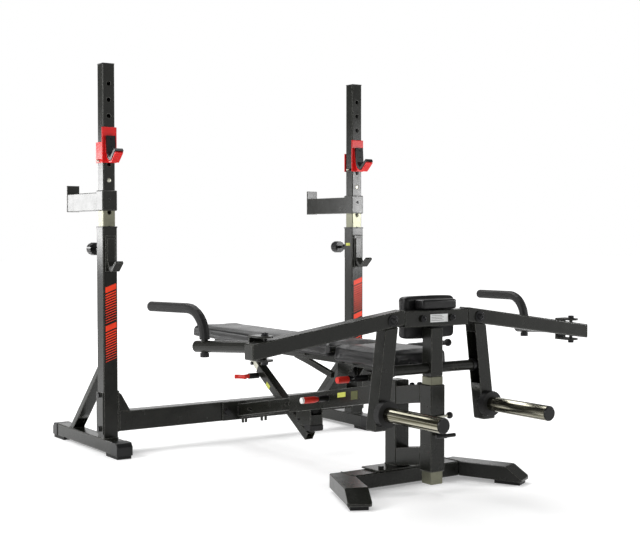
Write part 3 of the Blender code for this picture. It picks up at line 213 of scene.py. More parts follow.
# colour, its darker twin, roughness, metallic, grain size (per metre), bump height in metres
FINISHES = {
    "powder": ((0.0115, 0.0120, 0.0096), (0.0072, 0.0076, 0.0058), 0.25, 0.0, 900.0, 0.00004),
    "plastic": ((0.010, 0.010, 0.0102), (0.006, 0.006, 0.0062), 0.30, 0.0, 1400.0, 0.00002),
    "rubber": ((0.012, 0.012, 0.012), (0.008, 0.008, 0.008), 0.55, 0.0, 1100.0, 0.00003),
    "red": ((0.66, 0.012, 0.012), (0.52, 0.008, 0.008), 0.30, 0.0, 800.0, 0.00003),
    "red_grip": ((0.62, 0.030, 0.018), (0.46, 0.018, 0.012), 0.38, 0.0, 1200.0, 0.00003),
    "zinc": ((0.56, 0.55, 0.46), (0.42, 0.42, 0.36), 0.30, 1.0, 700.0, 0.00001),
    "bolt": ((0.032, 0.032, 0.033), (0.016, 0.016, 0.017), 0.30, 0.70, 900.0, 0.00002),
    "olive": ((0.20, 0.20, 0.145), (0.13, 0.13, 0.095), 0.34, 0.6, 700.0, 0.00001),
    "label_yellow": ((0.50, 0.52, 0.10), (0.42, 0.45, 0.08), 0.45, 0.0, 600.0, 0.00001),
    "label_white": ((0.72, 0.73, 0.72), (0.62, 0.63, 0.62), 0.45, 0.0, 600.0, 0.00001),
    "label_print": ((0.16, 0.16, 0.16), (0.12, 0.12, 0.12), 0.45, 0.0, 600.0, 0.00001),
    "stripe": ((0.86, 0.050, 0.010), (0.74, 0.036, 0.008), 0.38, 0.0, 800.0, 0.00001),
    "label_dim": ((0.095, 0.10, 0.030), (0.050, 0.055, 0.020), 0.45, 0.0, 600.0, 0.00001),
    "drawn": ((0.52, 0.50, 0.40), (0.09, 0.085, 0.055), 0.14, 1.0, 300.0, 0.000004),
    # white: a painted highlight, used on the end face of the spine pin's knob
    "white": ((0.74, 0.74, 0.72), (0.62, 0.62, 0.60), 0.40, 0.0, 900.0, 0.00001),
}


def finish_values(build, place, name):
    """A finish's colour, roughness, metallic and bump height, varied by noise.

    The drawn finish has streaks along Y in place of clouds."""
    bright, dark, rough, metal, grain, bump = FINISHES[name]
    cloud = build.noise(place, 18.0, 4.0)
    if name == "drawn":
        cloud = build.noise(build.stretched(place, (190.0, 2.5, 190.0)), 1.0, 3.0)
    speck = build.noise(place, grain, 2.0)
    share = 0.9 if name == "drawn" else 0.6
    tone = build.math("ADD", build.math("MULTIPLY", cloud, share),
                      build.math("MULTIPLY", speck, 1.0 - share))
    colour = build.mix(build.spread(tone, 0.0, 1.0, 0.38, 0.62), dark, bright)
    roughness = build.spread(cloud, rough - 0.02, rough + 0.03)
    return colour, roughness, metal, build.math("MULTIPLY", speck, bump)


def surface(name, finish, zones=(), edge=0.0):
    """A finish, with other finishes inside boxes of (x, y, z) ranges at rest."""
    made = bpy.data.materials.new(name)
    made.use_nodes = True
    build = Nodes(made.node_tree)
    shader = made.node_tree.nodes["Principled BSDF"]
    place = build.add("ShaderNodeTexCoord").outputs["Object"]
    split = build.add("ShaderNodeSeparateXYZ")
    build.feed(split.inputs[0], place)
    parts = split.outputs
    colour, rough, metal, height = finish_values(build, place, finish)
    shader.inputs["Specular IOR Level"].default_value = 0.26
    # edge: strength of a painted highlight, a light grey laid along the edges the bevel node finds
    # and mottled by noise; the same bevel also rounds the shading normal
    if edge:
        rounded = build.add("ShaderNodeBevel", samples=4)
        rounded.inputs["Radius"].default_value = 0.0030
        facing = build.add("ShaderNodeVectorMath", operation="DOT_PRODUCT")
        geometry = build.add("ShaderNodeNewGeometry")
        build.feed(facing.inputs[0], rounded.outputs[0])
        build.feed(facing.inputs[1], geometry.outputs["True Normal"])
        edge_highlight_mask = build.math("MULTIPLY", build.spread(facing.outputs["Value"], 1.0, 0.0, 0.86, 0.995),
                          build.spread(build.noise(place, 160.0), 0.2, 1.0))
        # the light grey of the painted edge highlight
        colour = build.mix(build.math("MULTIPLY", edge_highlight_mask, edge), colour, (0.26, 0.26, 0.235))
    for other, ranges in zones:
        mask = build.inside(parts, ranges)
        over, over_rough, over_metal, over_height = finish_values(build, place, other)
        colour = build.mix(mask, colour, over)
        rough = build.mix_number(mask, rough, over_rough)
        if over_metal != metal or isinstance(metal, bpy.types.NodeSocket):
            metal = build.mix_number(mask, metal, over_metal)
        height = build.mix_number(mask, height, over_height)
    bump = build.add("ShaderNodeBump")
    bump.inputs["Strength"].default_value = 0.6
    bump.inputs["Distance"].default_value = 1.0
    build.feed(bump.inputs["Height"], height)
    if edge:
        build.feed(bump.inputs["Normal"], rounded.outputs[0])
    for socket, value in (("Base Color", colour), ("Roughness", rough), ("Metallic", metal),
                          ("Normal", bump.outputs[0])):
        build.feed(shader.inputs[socket], value)
    return made


def vinyl_material():
    """Black vinyl: pores and fine wrinkles, a slow wave of tone and a soft sheen."""
    made = bpy.data.materials.new("black_vinyl")
    made.use_nodes = True
    build = Nodes(made.node_tree)
    shader = made.node_tree.nodes["Principled BSDF"]
    place = build.add("ShaderNodeTexCoord").outputs["Object"]
    cells = build.add("ShaderNodeTexVoronoi", feature="DISTANCE_TO_EDGE")
    build.feed(cells.inputs["Vector"], place)
    cells.inputs["Scale"].default_value = 620.0
    cells.inputs["Randomness"].default_value = 0.9
    creases = build.spread(cells.outputs["Distance"], 0.0, 1.0, 0.0, 0.16)
    cloud = build.noise(place, 7.0, 4.0)
    pores = build.noise(place, 1500.0, 2.0)
    colour = build.mix(build.spread(cloud, 0.0, 1.0, 0.3, 0.7), (0.005, 0.005, 0.0052),
                       (0.010, 0.010, 0.0102))
    # the grooves between the grain's cells are painted darker: painted shade in the creases
    colour = build.mix(build.math("MULTIPLY", build.math("SUBTRACT", 1.0, creases), 0.35), colour,
                       (0.006, 0.006, 0.006))
    height = build.math("ADD", build.math("MULTIPLY", creases, 0.00008),
                        build.math("MULTIPLY", pores, 0.00003))
    bump = build.add("ShaderNodeBump")
    bump.inputs["Strength"].default_value = 0.7
    bump.inputs["Distance"].default_value = 1.0
    build.feed(bump.inputs["Height"], height)
    build.feed(shader.inputs["Base Color"], colour)
    build.feed(shader.inputs["Roughness"], build.spread(cloud, 0.27, 0.36))
    build.feed(shader.inputs["Normal"], bump.outputs[0])
    shader.inputs["Specular IOR Level"].default_value = 0.24
    shader.inputs["Sheen Weight"].default_value = 0.02
    shader.inputs["Sheen Roughness"].default_value = 0.4
    return made


def woven_material(name, colour):
    """Thin non-woven backing cloth under the pads."""
    made = bpy.data.materials.new(name)
    made.use_nodes = True
    build = Nodes(made.node_tree)
    shader = made.node_tree.nodes["Principled BSDF"]
    place = build.add("ShaderNodeTexCoord").outputs["Object"]
    fibre = build.noise(build.stretched(place, (300.0, 1400.0, 300.0)), 1.0, 3.0)
    dots = build.add("ShaderNodeTexVoronoi")
    build.feed(dots.inputs["Vector"], place)
    dots.inputs["Scale"].default_value = 450.0
    weave = build.spread(dots.outputs["Distance"], 0.6, 1.0, 0.1, 0.5)
    tone = build.math("MULTIPLY", fibre, weave)
    build.feed(shader.inputs["Base Color"],
               build.mix(tone, tuple(c * 0.5 for c in colour), colour))
    shader.inputs["Roughness"].default_value = 0.9
    bump = build.add("ShaderNodeBump")
    bump.inputs["Strength"].default_value = 0.5
    build.feed(bump.inputs["Height"], build.math("MULTIPLY", tone, 0.0002))
    bump.inputs["Distance"].default_value = 1.0
    build.feed(shader.inputs["Normal"], bump.outputs[0])
    return made


POWDER = surface("powder_coat", "powder", edge=EDGE_HIGHLIGHT)
PLASTIC = surface("black_plastic", "plastic")
ZINC = surface("zinc_plate", "zinc")
BOLT = surface("black_oxide", "bolt")
RED = surface("red_powder", "red", edge=0.25)
STRIPE = surface("stripe_decal", "stripe")
YELLOW_LABEL = surface("yellow_label", "label_yellow")
DIM_LABEL = surface("dim_label", "label_dim")
WHITE_LABEL = surface("white_label", "label_white")
GREY_PRINT = surface("grey_print", "label_print")
VINYL = vinyl_material()
BACKING = woven_material("backing_cloth", (0.030, 0.030, 0.030))


def dress(node, material):
    """Gives a CAD node its material."""
    slots = NODES[node].material_slots
    if not slots:
        NODES[node].data.materials.append(material)
    for slot in slots:
        slot.material = material


def dress_frame():
    for name in NODES:
        dress(name, POWDER)
    far = 9.0
    for side_name, side in SIDES:
        dress(f"{side_name}_bar_hook", RED)
        for part in ("hook_liner", "height_knob"):
            dress(f"{side_name}_{part}", PLASTIC)
        dress(f"{side_name}_upright_post", surface(f"{side_name}_post_coat", "powder", (
            ("olive", (None, None, (0.0, 0.953))),), edge=EDGE_HIGHLIGHT))
        dress(f"{side_name}_handle", surface(f"{side_name}_handle_rubber", "rubber", (
            ("powder", (None, None, (0.0, 0.5240))), ("plastic", (None, None, (0.0, 0.4820))))))
        dress(f"{side_name}_foot", surface(f"{side_name}_foot_coat", "powder", (
            ("plastic", (None, (-far, RACK_Y - 0.094), None)),
            ("plastic", (None, (RACK_Y + 0.444, far), None)),
            ("rubber", (None, None, (-0.1, 0.0119)))), edge=EDGE_HIGHLIGHT))
        dress(f"{side_name}_foot_wing", surface(f"{side_name}_wing_coat", "powder", (
            ("rubber", (None, None, (-0.1, 0.0119))),), edge=EDGE_HIGHLIGHT))
        dress(f"{side_name}_upright_sleeve", surface(f"{side_name}_sleeve_coat", "powder", (
            ("plastic", (None, (RACK_Y + 0.0312, far), None)),
            ("bolt", (tuple(sorted((side * 0.6271, side * 0.7))), None, None))), edge=EDGE_HIGHLIGHT))
        dress(f"{side_name}_safety_arm", surface(f"{side_name}_safety_coat", "powder", (
            ("bolt", (None, (-far, RACK_Y - 0.0312), None)),), edge=EDGE_HIGHLIGHT))
        dress(f"{side_name}_weight_horn", surface(f"{side_name}_horn_plating", "drawn", (
            ("rubber", (None, (RACK_Y - 1.3162, far), None)),
            ("plastic", (None, (-far, RACK_Y - 1.5818), None)))))
        dress(f"{side_name}_lever_arm", surface(f"{side_name}_lever_arm_coat", "powder", (
            ("bolt", (None, (-far, RACK_Y + BEAM_FRONT), None)),), edge=EDGE_HIGHLIGHT))
        dress(f"{side_name}_forearm", surface(f"{side_name}_forearm_coat", "powder", (
            ("bolt", (None, None, (0.5542, 0.60))), ("bolt", (None, None, (0.40, 0.4768)))),
            edge=EDGE_HIGHLIGHT))
    dress("spine_sleeve", surface("spine_sleeve_coat", "powder", (
        ("plastic", ((-far, -0.0302), None, None)),), edge=EDGE_HIGHLIGHT))
    dress("strut_outer", surface("strut_coat", "powder", (
        ("plastic", ((-far, -0.0192), None, None)),), edge=EDGE_HIGHLIGHT))
    dress("seat_pin_bracket", surface("seat_bracket_coat", "powder", (
        ("plastic", ((-far, -0.0302), None, None)),), edge=EDGE_HIGHLIGHT))
    dress("strut_bracket", surface("strut_bracket_coat", "powder", (
        ("rubber", (None, (RACK_Y - 0.587, RACK_Y - 0.5375), (0.10, 0.1361))),
        ("bolt", (None, (RACK_Y - 0.5042, RACK_Y - 0.4938), (0.1448, 0.1552)))), edge=EDGE_HIGHLIGHT))
    dress("hinge_tube", surface("hinge_tube_coat", "powder", (
        ("plastic", ((0.1288, 0.2), None, None)), ("plastic", ((-0.2, -0.1288), None, None)))))
    dress("seat_frame", surface("seat_frame_coat", "powder", (
        ("rubber", ((0.1265, 0.2), None, None)),), edge=EDGE_HIGHLIGHT))
    dress("spine_rear_tube", surface("spine_rear_coat", "powder", (
        ("bolt", (None, (RACK_Y - 0.047, RACK_Y - 0.0365), (0.108, 0.138))),), edge=EDGE_HIGHLIGHT))
    dress("lever_beam", surface("lever_beam_coat", "powder", (
        ("bolt", (None, (-far, RACK_Y + BEAM_FRONT), None)),), edge=EDGE_HIGHLIGHT))
    dress("rear_post", surface("rear_post_coat", "powder", (
        ("bolt", (None, (RACK_Y - 1.121, RACK_Y - 1.1062), (0.0682, 0.08))),), edge=EDGE_HIGHLIGHT))
    dress("pivot_tube", surface("pivot_tube_coat", "powder", (
        ("plastic", ((0.1667, 0.2), None, None)), ("plastic", ((-0.2, -0.1667), None, None)))))
    dress("strut_inner", surface("strut_rod_plate", "zinc", (
        ("bolt", (None, (RACK_Y - 0.1401, RACK_Y - 0.1259), (0.3229, 0.3371))),)))
    dress("lift_post", surface("lift_post_plate", "olive", edge=0.3))
    dress("height_lock_pin", surface("lock_pin_plate", "zinc", (
        ("plastic", ((0.0312, 0.1), None, None)),)))
    dress("clamp_handle", PLASTIC)
    dress("spine_pull_pin", surface("spine_pin_parts", "red_grip", (
        # the white at the knob's end is a painted highlight on its end face
        ("zinc", ((-0.0756, 0.0), None, None)), ("white", ((-0.2, -0.1404), None, None)))))
    dress("seat_pull_pin", surface("seat_pin_parts", "red_grip", (
        ("plastic", ((-0.1130, -0.0866), None, None)),
        ("zinc", ((-0.0866, 0.0), None, None)))))
    dress("strut_pull_pin", surface("strut_pin_parts", "red_grip", (
        ("zinc", ((-0.0636, 0.0), None, None)),)))


dress_frame()


# ---------------------------------------------------------------- shapes
def piece(name, work, material, body, smooth=True, bevel=0.0, segments=2):
    """A mesh in place, riding on a body."""
    mesh = bpy.data.meshes.new(name)
    bmesh.ops.recalc_face_normals(work, faces=work.faces)
    work.to_mesh(mesh)
    work.free()
    mesh.materials.append(material)
    made = bpy.data.objects.new(name, mesh)
    bpy.context.scene.collection.objects.link(made)
    if smooth:
        mesh.shade_smooth()
        mesh.set_sharp_from_angle(angle=math.radians(38))
    if bevel:
        rounding = made.modifiers.new("edges", "BEVEL")
        rounding.width = bevel
        rounding.segments = segments
        rounding.limit_method = "ANGLE"
        rounding.angle_limit = math.radians(35)
        rounding.harden_normals = False
    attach(made, body)
    return made


def add_box(work, low, high):
    made = bmesh.ops.create_cube(work, size=1.0)["verts"]
    low, high = Vector(low), Vector(high)
    bmesh.ops.scale(work, vec=high - low, verts=made)
    bmesh.ops.translate(work, vec=(low + high) / 2, verts=made)
    return made


def add_prism(work, outline, axis, span):
    """An outline of points on a plane, as (u, v), thick along the axis over the span."""
    order = {"x": (2, 0, 1), "y": (0, 2, 1), "z": (0, 1, 2)}[axis]

    def place(u, v, w):
        values = (u, v, w)
        return Vector([values[i] for i in order])

    rings = [[work.verts.new(place(u, v, w)) for u, v in outline] for w in span]
    work.faces.new(rings[0])
    work.faces.new(rings[1][::-1])
    count = len(outline)
    for i in range(count):
        j = (i + 1) % count
        work.faces.new((rings[0][i], rings[0][j], rings[1][j], rings[1][i]))


def add_lathe(work, profile, start, direction, sides=32):
    """A profile of (distance along, radius) turned about a line, closed at radius 0."""
    turn = Vector(direction).to_track_quat("Z", "Y").to_matrix()
    rings = []
    for along, radius in profile:
        if radius <= 0.0:
            rings.append([work.verts.new(Vector(start) + turn @ Vector((0.0, 0.0, along)))])
            continue
        ring = []
        for step in range(sides):
            turned = 2 * math.pi * step / sides
            offset = Vector((radius * math.cos(turned), radius * math.sin(turned), along))
            ring.append(work.verts.new(Vector(start) + turn @ offset))
        rings.append(ring)
    for near, far in zip(rings, rings[1:]):
        for step in range(sides):
            after = (step + 1) % sides
            corners = [near[step % len(near)], near[after % len(near)],
                       far[after % len(far)], far[step % len(far)]]
            unique = list(dict.fromkeys(corners))
            if len(unique) > 2:
                work.faces.new(unique)
    for end in (rings[0], rings[-1]):
        if len(end) > 1:
            work.faces.new(end)


def add_tube(work, path, radius, sides=12):
    """A round tube along points, closed at its ends."""
    path = [Vector(point) for point in path]
    rings = []
    across = None
    for index, point in enumerate(path):
        before, after = path[max(0, index - 1)], path[min(len(path) - 1, index + 1)]
        along = (after - before).normalized()
        if across is None:
            across = along.orthogonal().normalized()
        across = (across - along * across.dot(along)).normalized()
        other = along.cross(across)
        rings.append([
            work.verts.new(point + (across * math.cos(2 * math.pi * step / sides)
                                    + other * math.sin(2 * math.pi * step / sides)) * radius)
            for step in range(sides)
        ])
    for near, far in zip(rings, rings[1:]):
        for step in range(sides):
            after = (step + 1) % sides
            work.faces.new((near[step], near[after], far[after], far[step]))
    work.faces.new(rings[0][::-1])
    work.faces.new(rings[-1])


def bolt_profile(radius, height):
    """A button head on a washer, with a socket in its middle."""
    return ((0.0, radius * 1.35), (0.0013, radius * 1.35), (0.0014, radius),
            (height * 0.45, radius * 0.98), (height * 0.85, radius * 0.74),
            (height, radius * 0.46), (height * 0.55, radius * 0.44), (height * 0.5, 0.0))


def bolts(name, places, direction, radius, height, body, material=None):
    """Button-head bolts, one at each place, as one piece."""
    work = bmesh.new()
    for place in places:
        add_lathe(work, bolt_profile(radius, height), place, direction, 20)
    return piece(name, work, material or BOLT, body)


# ---------------------------------------------------------------- pads
def outline_of_pad(front, back, front_half, back_half, front_r, back_r, steps=8):
    points = []
    for centre, radius, start in (
            ((front_half - front_r, front + front_r), front_r, -90),
            ((back_half - back_r, back - back_r), back_r, 0)):
        for step in range(steps + 1):
            turned = math.radians(start + 90 * step / steps)
            points.append((centre[0] + radius * math.cos(turned),
                           centre[1] + radius * math.sin(turned)))
    points += [(-x, y) for x, y in points[::-1]]
    return [(x, y + RACK_Y) for x, y in points]


def inflated(made, pressure, cap, held, voxel=0.006):
    """Swells a closed mesh like foam under vinyl; points for which held is true stay put."""
    bpy.context.view_layer.objects.active = made
    remesh = made.modifiers.new("remesh", "REMESH")
    remesh.mode = "VOXEL"
    remesh.voxel_size = voxel
    graph = bpy.context.evaluated_depsgraph_get()
    mesh = bpy.data.meshes.new_from_object(made.evaluated_get(graph))
    made.modifiers.clear()
    made.data = mesh
    rest = [vertex.co.copy() for vertex in mesh.vertices]
    group = made.vertex_groups.new(name="held")
    group.add([i for i, co in enumerate(rest) if held(co)], 1.0, "REPLACE")
    cloth = made.modifiers.new("cloth", "CLOTH")
    settings = cloth.settings
    settings.use_pressure = True
    settings.uniform_pressure_force = pressure
    settings.effector_weights.gravity = 0.0
    settings.vertex_group_mass = "held"
    settings.tension_stiffness = 25.0
    settings.compression_stiffness = 25.0
    settings.bending_stiffness = 1.5
    settings.quality = 5
    cloth.collision_settings.use_collision = False
    cloth.collision_settings.use_self_collision = False
    cloth.point_cache.frame_start = 1
    cloth.point_cache.frame_end = 20
    scene = bpy.context.scene
    for moment in range(1, 21):
        scene.frame_set(moment)
    graph = bpy.context.evaluated_depsgraph_get()
    result = bpy.data.meshes.new_from_object(made.evaluated_get(graph))
    made.modifiers.clear()
    made.vertex_groups.clear()
    for vertex, start in zip(result.vertices, rest):
        move = vertex.co - start
        if move.length > cap:
            vertex.co = start + move * (cap / move.length)
    made.data = result
    scene.frame_set(1)
    result.shade_smooth()


def soften(made, rounds):
    """Smooths a pad's surface without shrinking it much."""
    work = bmesh.new()
    work.from_mesh(made.data)
    for _ in range(rounds):
        bmesh.ops.smooth_vert(work, verts=work.verts, factor=0.5, use_axis_x=True,
                              use_axis_y=True, use_axis_z=True)
    work.to_mesh(made.data)
    work.free()
    made.data.shade_smooth()


def make_pad(name, outline, low, high, body, node, pressure, cap, rounding, crown_held):
    """A vinyl pad: foam over a board, crowned, its lower edge held by the board."""
    work = bmesh.new()
    add_prism(work, outline, "z", (low, high))
    pad = piece(name, work, VINYL, body, bevel=rounding, segments=4)
    inflated(pad, pressure, cap, crown_held)
    soften(pad, 2)
    smooth = pad.modifiers.new("smooth", "SUBSURF")
    smooth.levels = smooth.render_levels = 1
    pad.data.materials.clear()
    pad.data.materials.append(VINYL)
    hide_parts(node)
    return pad


def backing(name, outline, low, body, inset=0.014):
    """Backing cloth stapled under a pad, with its row of staples."""
    centre_y = sum(y for _, y in outline) / len(outline)
    work = bmesh.new()
    shrunk = []
    for x, y in outline:
        shrunk.append((x - math.copysign(inset, x), y - math.copysign(inset, y - centre_y)))
    add_prism(work, shrunk, "z", (low - 0.0009, low + 0.0008))
    made = piece(name, work, BACKING, body)
    staples = bmesh.new()
    count = len(shrunk)
    for index in range(count):
        start, end = Vector(shrunk[index]), Vector(shrunk[(index + 1) % count])
        length = (end - start).length
        along = (end - start).normalized() if length > 1e-6 else Vector((1.0, 0.0))
        steps = int(length / 0.035)
        for step in range(steps):
            middle = start + along * ((step + 0.5) * length / max(1, steps))
            middle = Vector((middle.x - math.copysign(0.004, middle.x), middle.y))
            a, b = middle - along * 0.005, middle + along * 0.005
            add_tube(staples, [(a.x, a.y, low - 0.0011), (b.x, b.y, low - 0.0011)], 0.0006, 6)
    piece(name + "_staples", staples, ZINC, body)


SEAT_PLAN = outline_of_pad(-1.1985, -0.8735, 0.1285, 0.1285, 0.028, 0.010)
BACK_PLAN = outline_of_pad(-0.8360, 0.2135, 0.1285, 0.1135, 0.010, 0.028)
make_pad("seat_cushion", SEAT_PLAN, 0.4127, 0.4655, "seat", "seat_pad", 4.0, 0.006, 0.013,
         lambda co: co.z < 0.4185)
make_pad("backrest_cushion", BACK_PLAN, 0.4237, 0.4660, "backrest", "backrest_pad", 4.0, 0.006,
         0.013, lambda co: co.z < 0.4295)
backing("seat_backing", SEAT_PLAN, 0.4127, "seat")
backing("backrest_backing", BACK_PLAN, 0.4237, "backrest")


def make_chest_pad():
    work = bmesh.new()
    add_box(work, at(-0.0950, -1.2385, 0.5130), at(0.1210, -1.193, 0.6530))
    pad = piece("chest_cushion", work, VINYL, "lever", bevel=0.014, segments=4)
    inflated(pad, 4.0, 0.004, lambda co: co.y < RACK_Y - 1.236, 0.004)
    soften(pad, 2)
    smooth = pad.modifiers.new("smooth", "SUBSURF")
    smooth.levels = smooth.render_levels = 1
    pad.data.materials.clear()
    pad.data.materials.append(VINYL)
    block_work = bmesh.new()
    add_box(block_work, at(-0.0550, -1.2835, 0.6115), at(0.0890, -1.2375, 0.6435))
    block = piece("chest_pad_roll", block_work, VINYL, "lever", bevel=0.007, segments=4)
    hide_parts("chest_pad")


make_chest_pad()


# ---------------------------------------------------------------- rack details
def decal_work(x_span, front, bands):
    """Slanted bars on a front face: (bottom, top) heights at the left edge, rising to the right."""
    work = bmesh.new()
    left, right = x_span
    slant = (right - left) * 0.36
    for low, high in bands:
        outline = ((left, low), (right, low + slant), (right, high + slant), (left, high))
        add_prism(work, outline, "y", (front - 0.0003, front + 0.0001))
    return work


def stripe_bands(top, solid, count, pitch, width):
    """A solid band and thin bars under it, heights falling from the top."""
    bands = [(top - solid, top)]
    for index in range(count):
        high = top - solid - 0.006 - pitch * index
        bands.append((high - width * (1.0 - 0.055 * index), high))
    return bands


def make_decals():
    front = RACK_Y - SLEEVE_FRONT
    for side_name, side in SIDES:
        centre = side * POST_X
        bands = (stripe_bands(0.651, 0.022, 12, 0.0100, 0.0056)
                 + stripe_bands(0.501, 0.022, 12, 0.0100, 0.0056))
        work = decal_work((centre - 0.0205, centre + 0.0245), front, bands)
        piece(f"{side_name}_sleeve_stripes", work, STRIPE, "rack", smooth=False)


def make_post_caps():
    """Plastic caps on the posts and a bushing at the mouth of each sleeve."""
    for side_name, side in SIDES:
        centre = side * POST_X
        work = bmesh.new()
        add_box(work, at(centre - 0.0253, -0.0253, 1.5125), at(centre + 0.0253, 0.0253, 1.5172))
        piece(f"{side_name}_post_cap", work, PLASTIC, f"{side_name}_post", bevel=0.0018)
        work = bmesh.new()
        outer, inner = 0.0308, 0.0255
        for x0, x1, y0, y1 in (
                (-outer, outer, -outer, -inner), (-outer, outer, inner, outer),
                (-outer, -inner, -0.0256, 0.0256), (inner, outer, -0.0256, 0.0256)):
            add_box(work, at(centre + x0, y0, 0.882), at(centre + x1, y1, 0.8875))
        piece(f"{side_name}_sleeve_bushing", work, PLASTIC, "rack", bevel=0.0008)


def make_hook_fittings():
    """The spring pins of the bar hooks and the screws of their liners."""
    for side_name, side in SIDES:
        x = side * POST_X
        body = f"{side_name}_bar_hook"
        work = bmesh.new()
        outer = x - 0.0310
        add_lathe(work, ((0.0, 0.0055), (0.006, 0.0055), (0.0065, 0.0040), (0.011, 0.0036),
                         (0.012, 0.0)), at(outer + 0.001, -0.004, 1.142), (-1, 0, 0), 16)
        piece(f"{side_name}_hook_pin", work, ZINC, body)
        bolts(f"{side_name}_liner_screws", [at(x, -0.0452, 1.222), at(x, -0.0472, 1.192)],
              (0, -1, 0.08), 0.0038, 0.0022, body)


def make_hole_studs():
    """Plated studs sunk in one hole of each post, the stop for its safety arm."""
    for side_name, side in SIDES:
        work = bmesh.new()
        profile = ((0.0, 0.0086), (0.0085, 0.0086), (0.0092, 0.0076), (0.0092, 0.0030),
                   (0.0075, 0.0024), (0.0075, 0.0))
        add_lathe(work, profile, at(side * POST_X, -0.0155, 1.066), (0, -1, 0), 28)
        piece(f"{side_name}_post_stud", work, ZINC, f"{side_name}_post")


def make_knob_ribs():
    """Grip ribs round the height knobs."""
    for side_name, side in SIDES:
        work = bmesh.new()
        centre = at(side * POST_X, 0.0, 0.799)
        for step in range(14):
            turned = 2 * math.pi * step / 14
            x, z = 0.0238 * math.cos(turned), 0.0238 * math.sin(turned)
            add_tube(work, [centre + Vector((x, 0.107, z)), centre + Vector((x, 0.140, z))],
                     0.0019, 8)
        piece(f"{side_name}_knob_ribs", work, PLASTIC, f"{side_name}_height_knob")


make_decals()
make_post_caps()
make_hook_fittings()
make_hole_studs()
make_knob_ribs()


# ---------------------------------------------------------------- welds
def weld(name, corners, body, radius=0.0021, closed=False):
    """A bead of weld along a line of corners, rippled like a row of coins."""
    path = [Vector(corner) for corner in corners]
    if closed:
        path.append(path[0])
    work = bmesh.new()
    for start, end in zip(path, path[1:]):
        length = (end - start).length
        steps = max(2, int(length / 0.0030))
        points = [start.lerp(end, step / steps) for step in range(steps + 1)]
        direction = (end - start).normalized()
        across = direction.orthogonal().normalized()
        other = direction.cross(across)
        rings = []
        for index, point in enumerate(points):
            swell = radius * (1.0 if index % 2 else 0.82)
            rings.append([
                work.verts.new(point + (across * math.cos(math.pi * step / 4)
                                        + other * math.sin(math.pi * step / 4)) * swell)
                for step in range(8)
            ])
        for near, far in zip(rings, rings[1:]):
            for step in range(8):
                after = (step + 1) % 8
                work.faces.new((near[step], near[after], far[after], far[step]))
        work.faces.new(rings[0][::-1])
        work.faces.new(rings[-1])
    return piece(name, work, POWDER, body)


def weld_round(name, centre, half_x, span_y, z, body, radius=0.0021):
    """A bead round the foot of a square tube."""
    near, far = span_y
    weld(name, [at(centre - half_x, near, z), at(centre + half_x, near, z),
                at(centre + half_x, far, z), at(centre - half_x, far, z)],
         body, radius=radius, closed=True)


def make_welds():
    foot_top = 0.0628
    for side_name, side in SIDES:
        x = side * POST_X
        weld_round(f"{side_name}_sleeve_weld", x, 0.030, (-0.030, 0.030), foot_top, "rack")
        weld_round(f"{side_name}_brace_weld", x, 0.025, (0.3257, 0.2897), foot_top, "rack")
        weld(f"{side_name}_lower_hook_weld",
             [at(x - 0.028, -SLEEVE_FRONT, 0.852), at(x + 0.028, -SLEEVE_FRONT, 0.852)],
             "rack", radius=0.0016)
        weld(f"{side_name}_wing_weld",
             [at(side * 0.2252, -1.060, 0.0625), at(side * 0.2252, -1.140, 0.0625)],
             "bench", radius=0.0019)
    weld("upper_link_weld", [at(-0.029, -1.235, 0.3645), at(0.029, -1.235, 0.3645)], "bench",
         radius=0.0018)
    weld_round("rear_post_weld", 0.0, 0.030, (-1.105, -1.045), 0.0688, "bench", 0.0019)


make_welds()


# ---------------------------------------------------------------- bench and lever details
def spine_z(y):
    return 0.2005 + 0.1835 * (-0.435 - y)


def side_label(name, y_span, drop, x, material, body):
    """A blank label on the left face of the spine, lying along its slope."""
    work = bmesh.new()
    y0, y1 = y_span
    low, high = drop
    outline = ((y0 + RACK_Y, spine_z(y0) + low), (y1 + RACK_Y, spine_z(y1) + low),
               (y1 + RACK_Y, spine_z(y1) + high), (y0 + RACK_Y, spine_z(y0) + high))
    add_prism(work, outline, "x", (x - 0.0003, x + 0.0001))
    return piece(name, work, material, body, smooth=False)


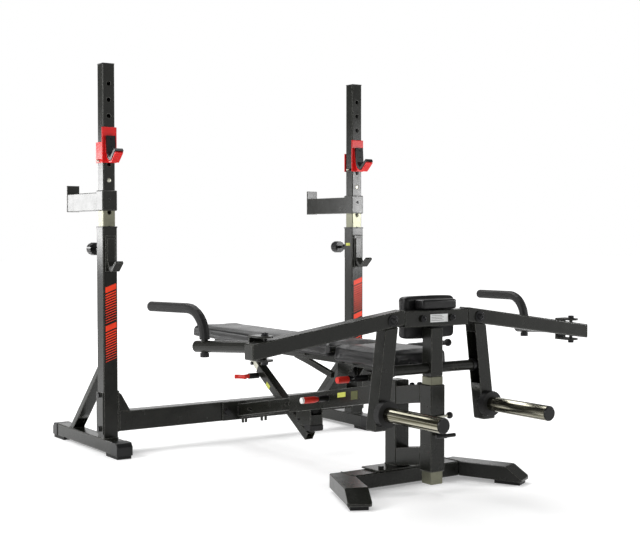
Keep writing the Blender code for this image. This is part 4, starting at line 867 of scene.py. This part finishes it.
def make_labels():
    side_label("spine_label_a", (-0.812, -0.762), (0.002, 0.019), SPINE_FACE, YELLOW_LABEL, "bench")
    side_label("spine_label_b", (-0.886, -0.846), (-0.012, 0.019), SPINE_FACE, DIM_LABEL, "bench")
    work = bmesh.new()
    add_box(work, at(0.5615, -0.014, 0.806), at(0.5621, 0.016, 0.818))
    piece("right_sleeve_label", work, YELLOW_LABEL, "rack", smooth=False)
    work = bmesh.new()
    middle = Vector((-0.262, 0.252))
    along, across = Vector((0.838, 0.547)) * 0.015, Vector((-0.547, 0.838)) * 0.009
    corners = [middle + along * a + across * b for a, b in ((-1, -1), (1, -1), (1, 1), (-1, 1))]
    add_prism(work, [(y + RACK_Y, z) for y, z in corners], "x", (-0.0193, -0.0189))
    piece("strut_label", work, YELLOW_LABEL, "strut", smooth=False)
    work = bmesh.new()
    add_box(work, at(-0.030, -1.2904, 0.5700), at(0.044, -1.2901, 0.5960))
    piece("beam_label", work, WHITE_LABEL, "lever", smooth=False)
    work = bmesh.new()
    for row in range(4):
        z = 0.5905 - 0.0052 * row
        add_box(work, at(-0.026, -1.2907, z), at(0.020 + 0.006 * (row % 2), -1.2903, z + 0.0018))
    piece("beam_label_lines", work, GREY_PRINT, "lever", smooth=False)


def make_bench_bolts():
    bolts("beam_bolts", [at(-0.062, -1.2965, 0.583), at(0.062, -1.2965, 0.583)], (0, -1, 0),
          0.0088, 0.0058, "lever")
    bolts("link_bolts", [at(0.0, -1.158, 0.3486), at(0.0, -1.198, 0.3545)], (0, LINK_SLOPE, 1),
          0.0090, 0.0085, "bench")
    for side_name, side in SIDES:
        bolts(f"{side_name}_arm_bolt", [at(side * 0.184, -1.2935, 0.581)], (0, -1, 0), 0.0118,
              0.0092, "lever")
        ring = bmesh.new()
        add_lathe(ring, ((0.0, 0.0198), (0.0018, 0.0198), (0.0026, 0.0188), (0.0026, 0.0155),
                         (0.0008, 0.0150)), at(side * 0.184, -1.2915, 0.581), (0, -1, 0), 36)
        piece(f"{side_name}_arm_washer", ring, BOLT, "lever")
        bolts(f"{side_name}_clevis_bolt", [at(side * 0.648, -1.262, 0.5545)], (0, 0, 1), 0.0092,
              0.0098, f"{side_name}_forearm")


make_labels()
make_bench_bolts()
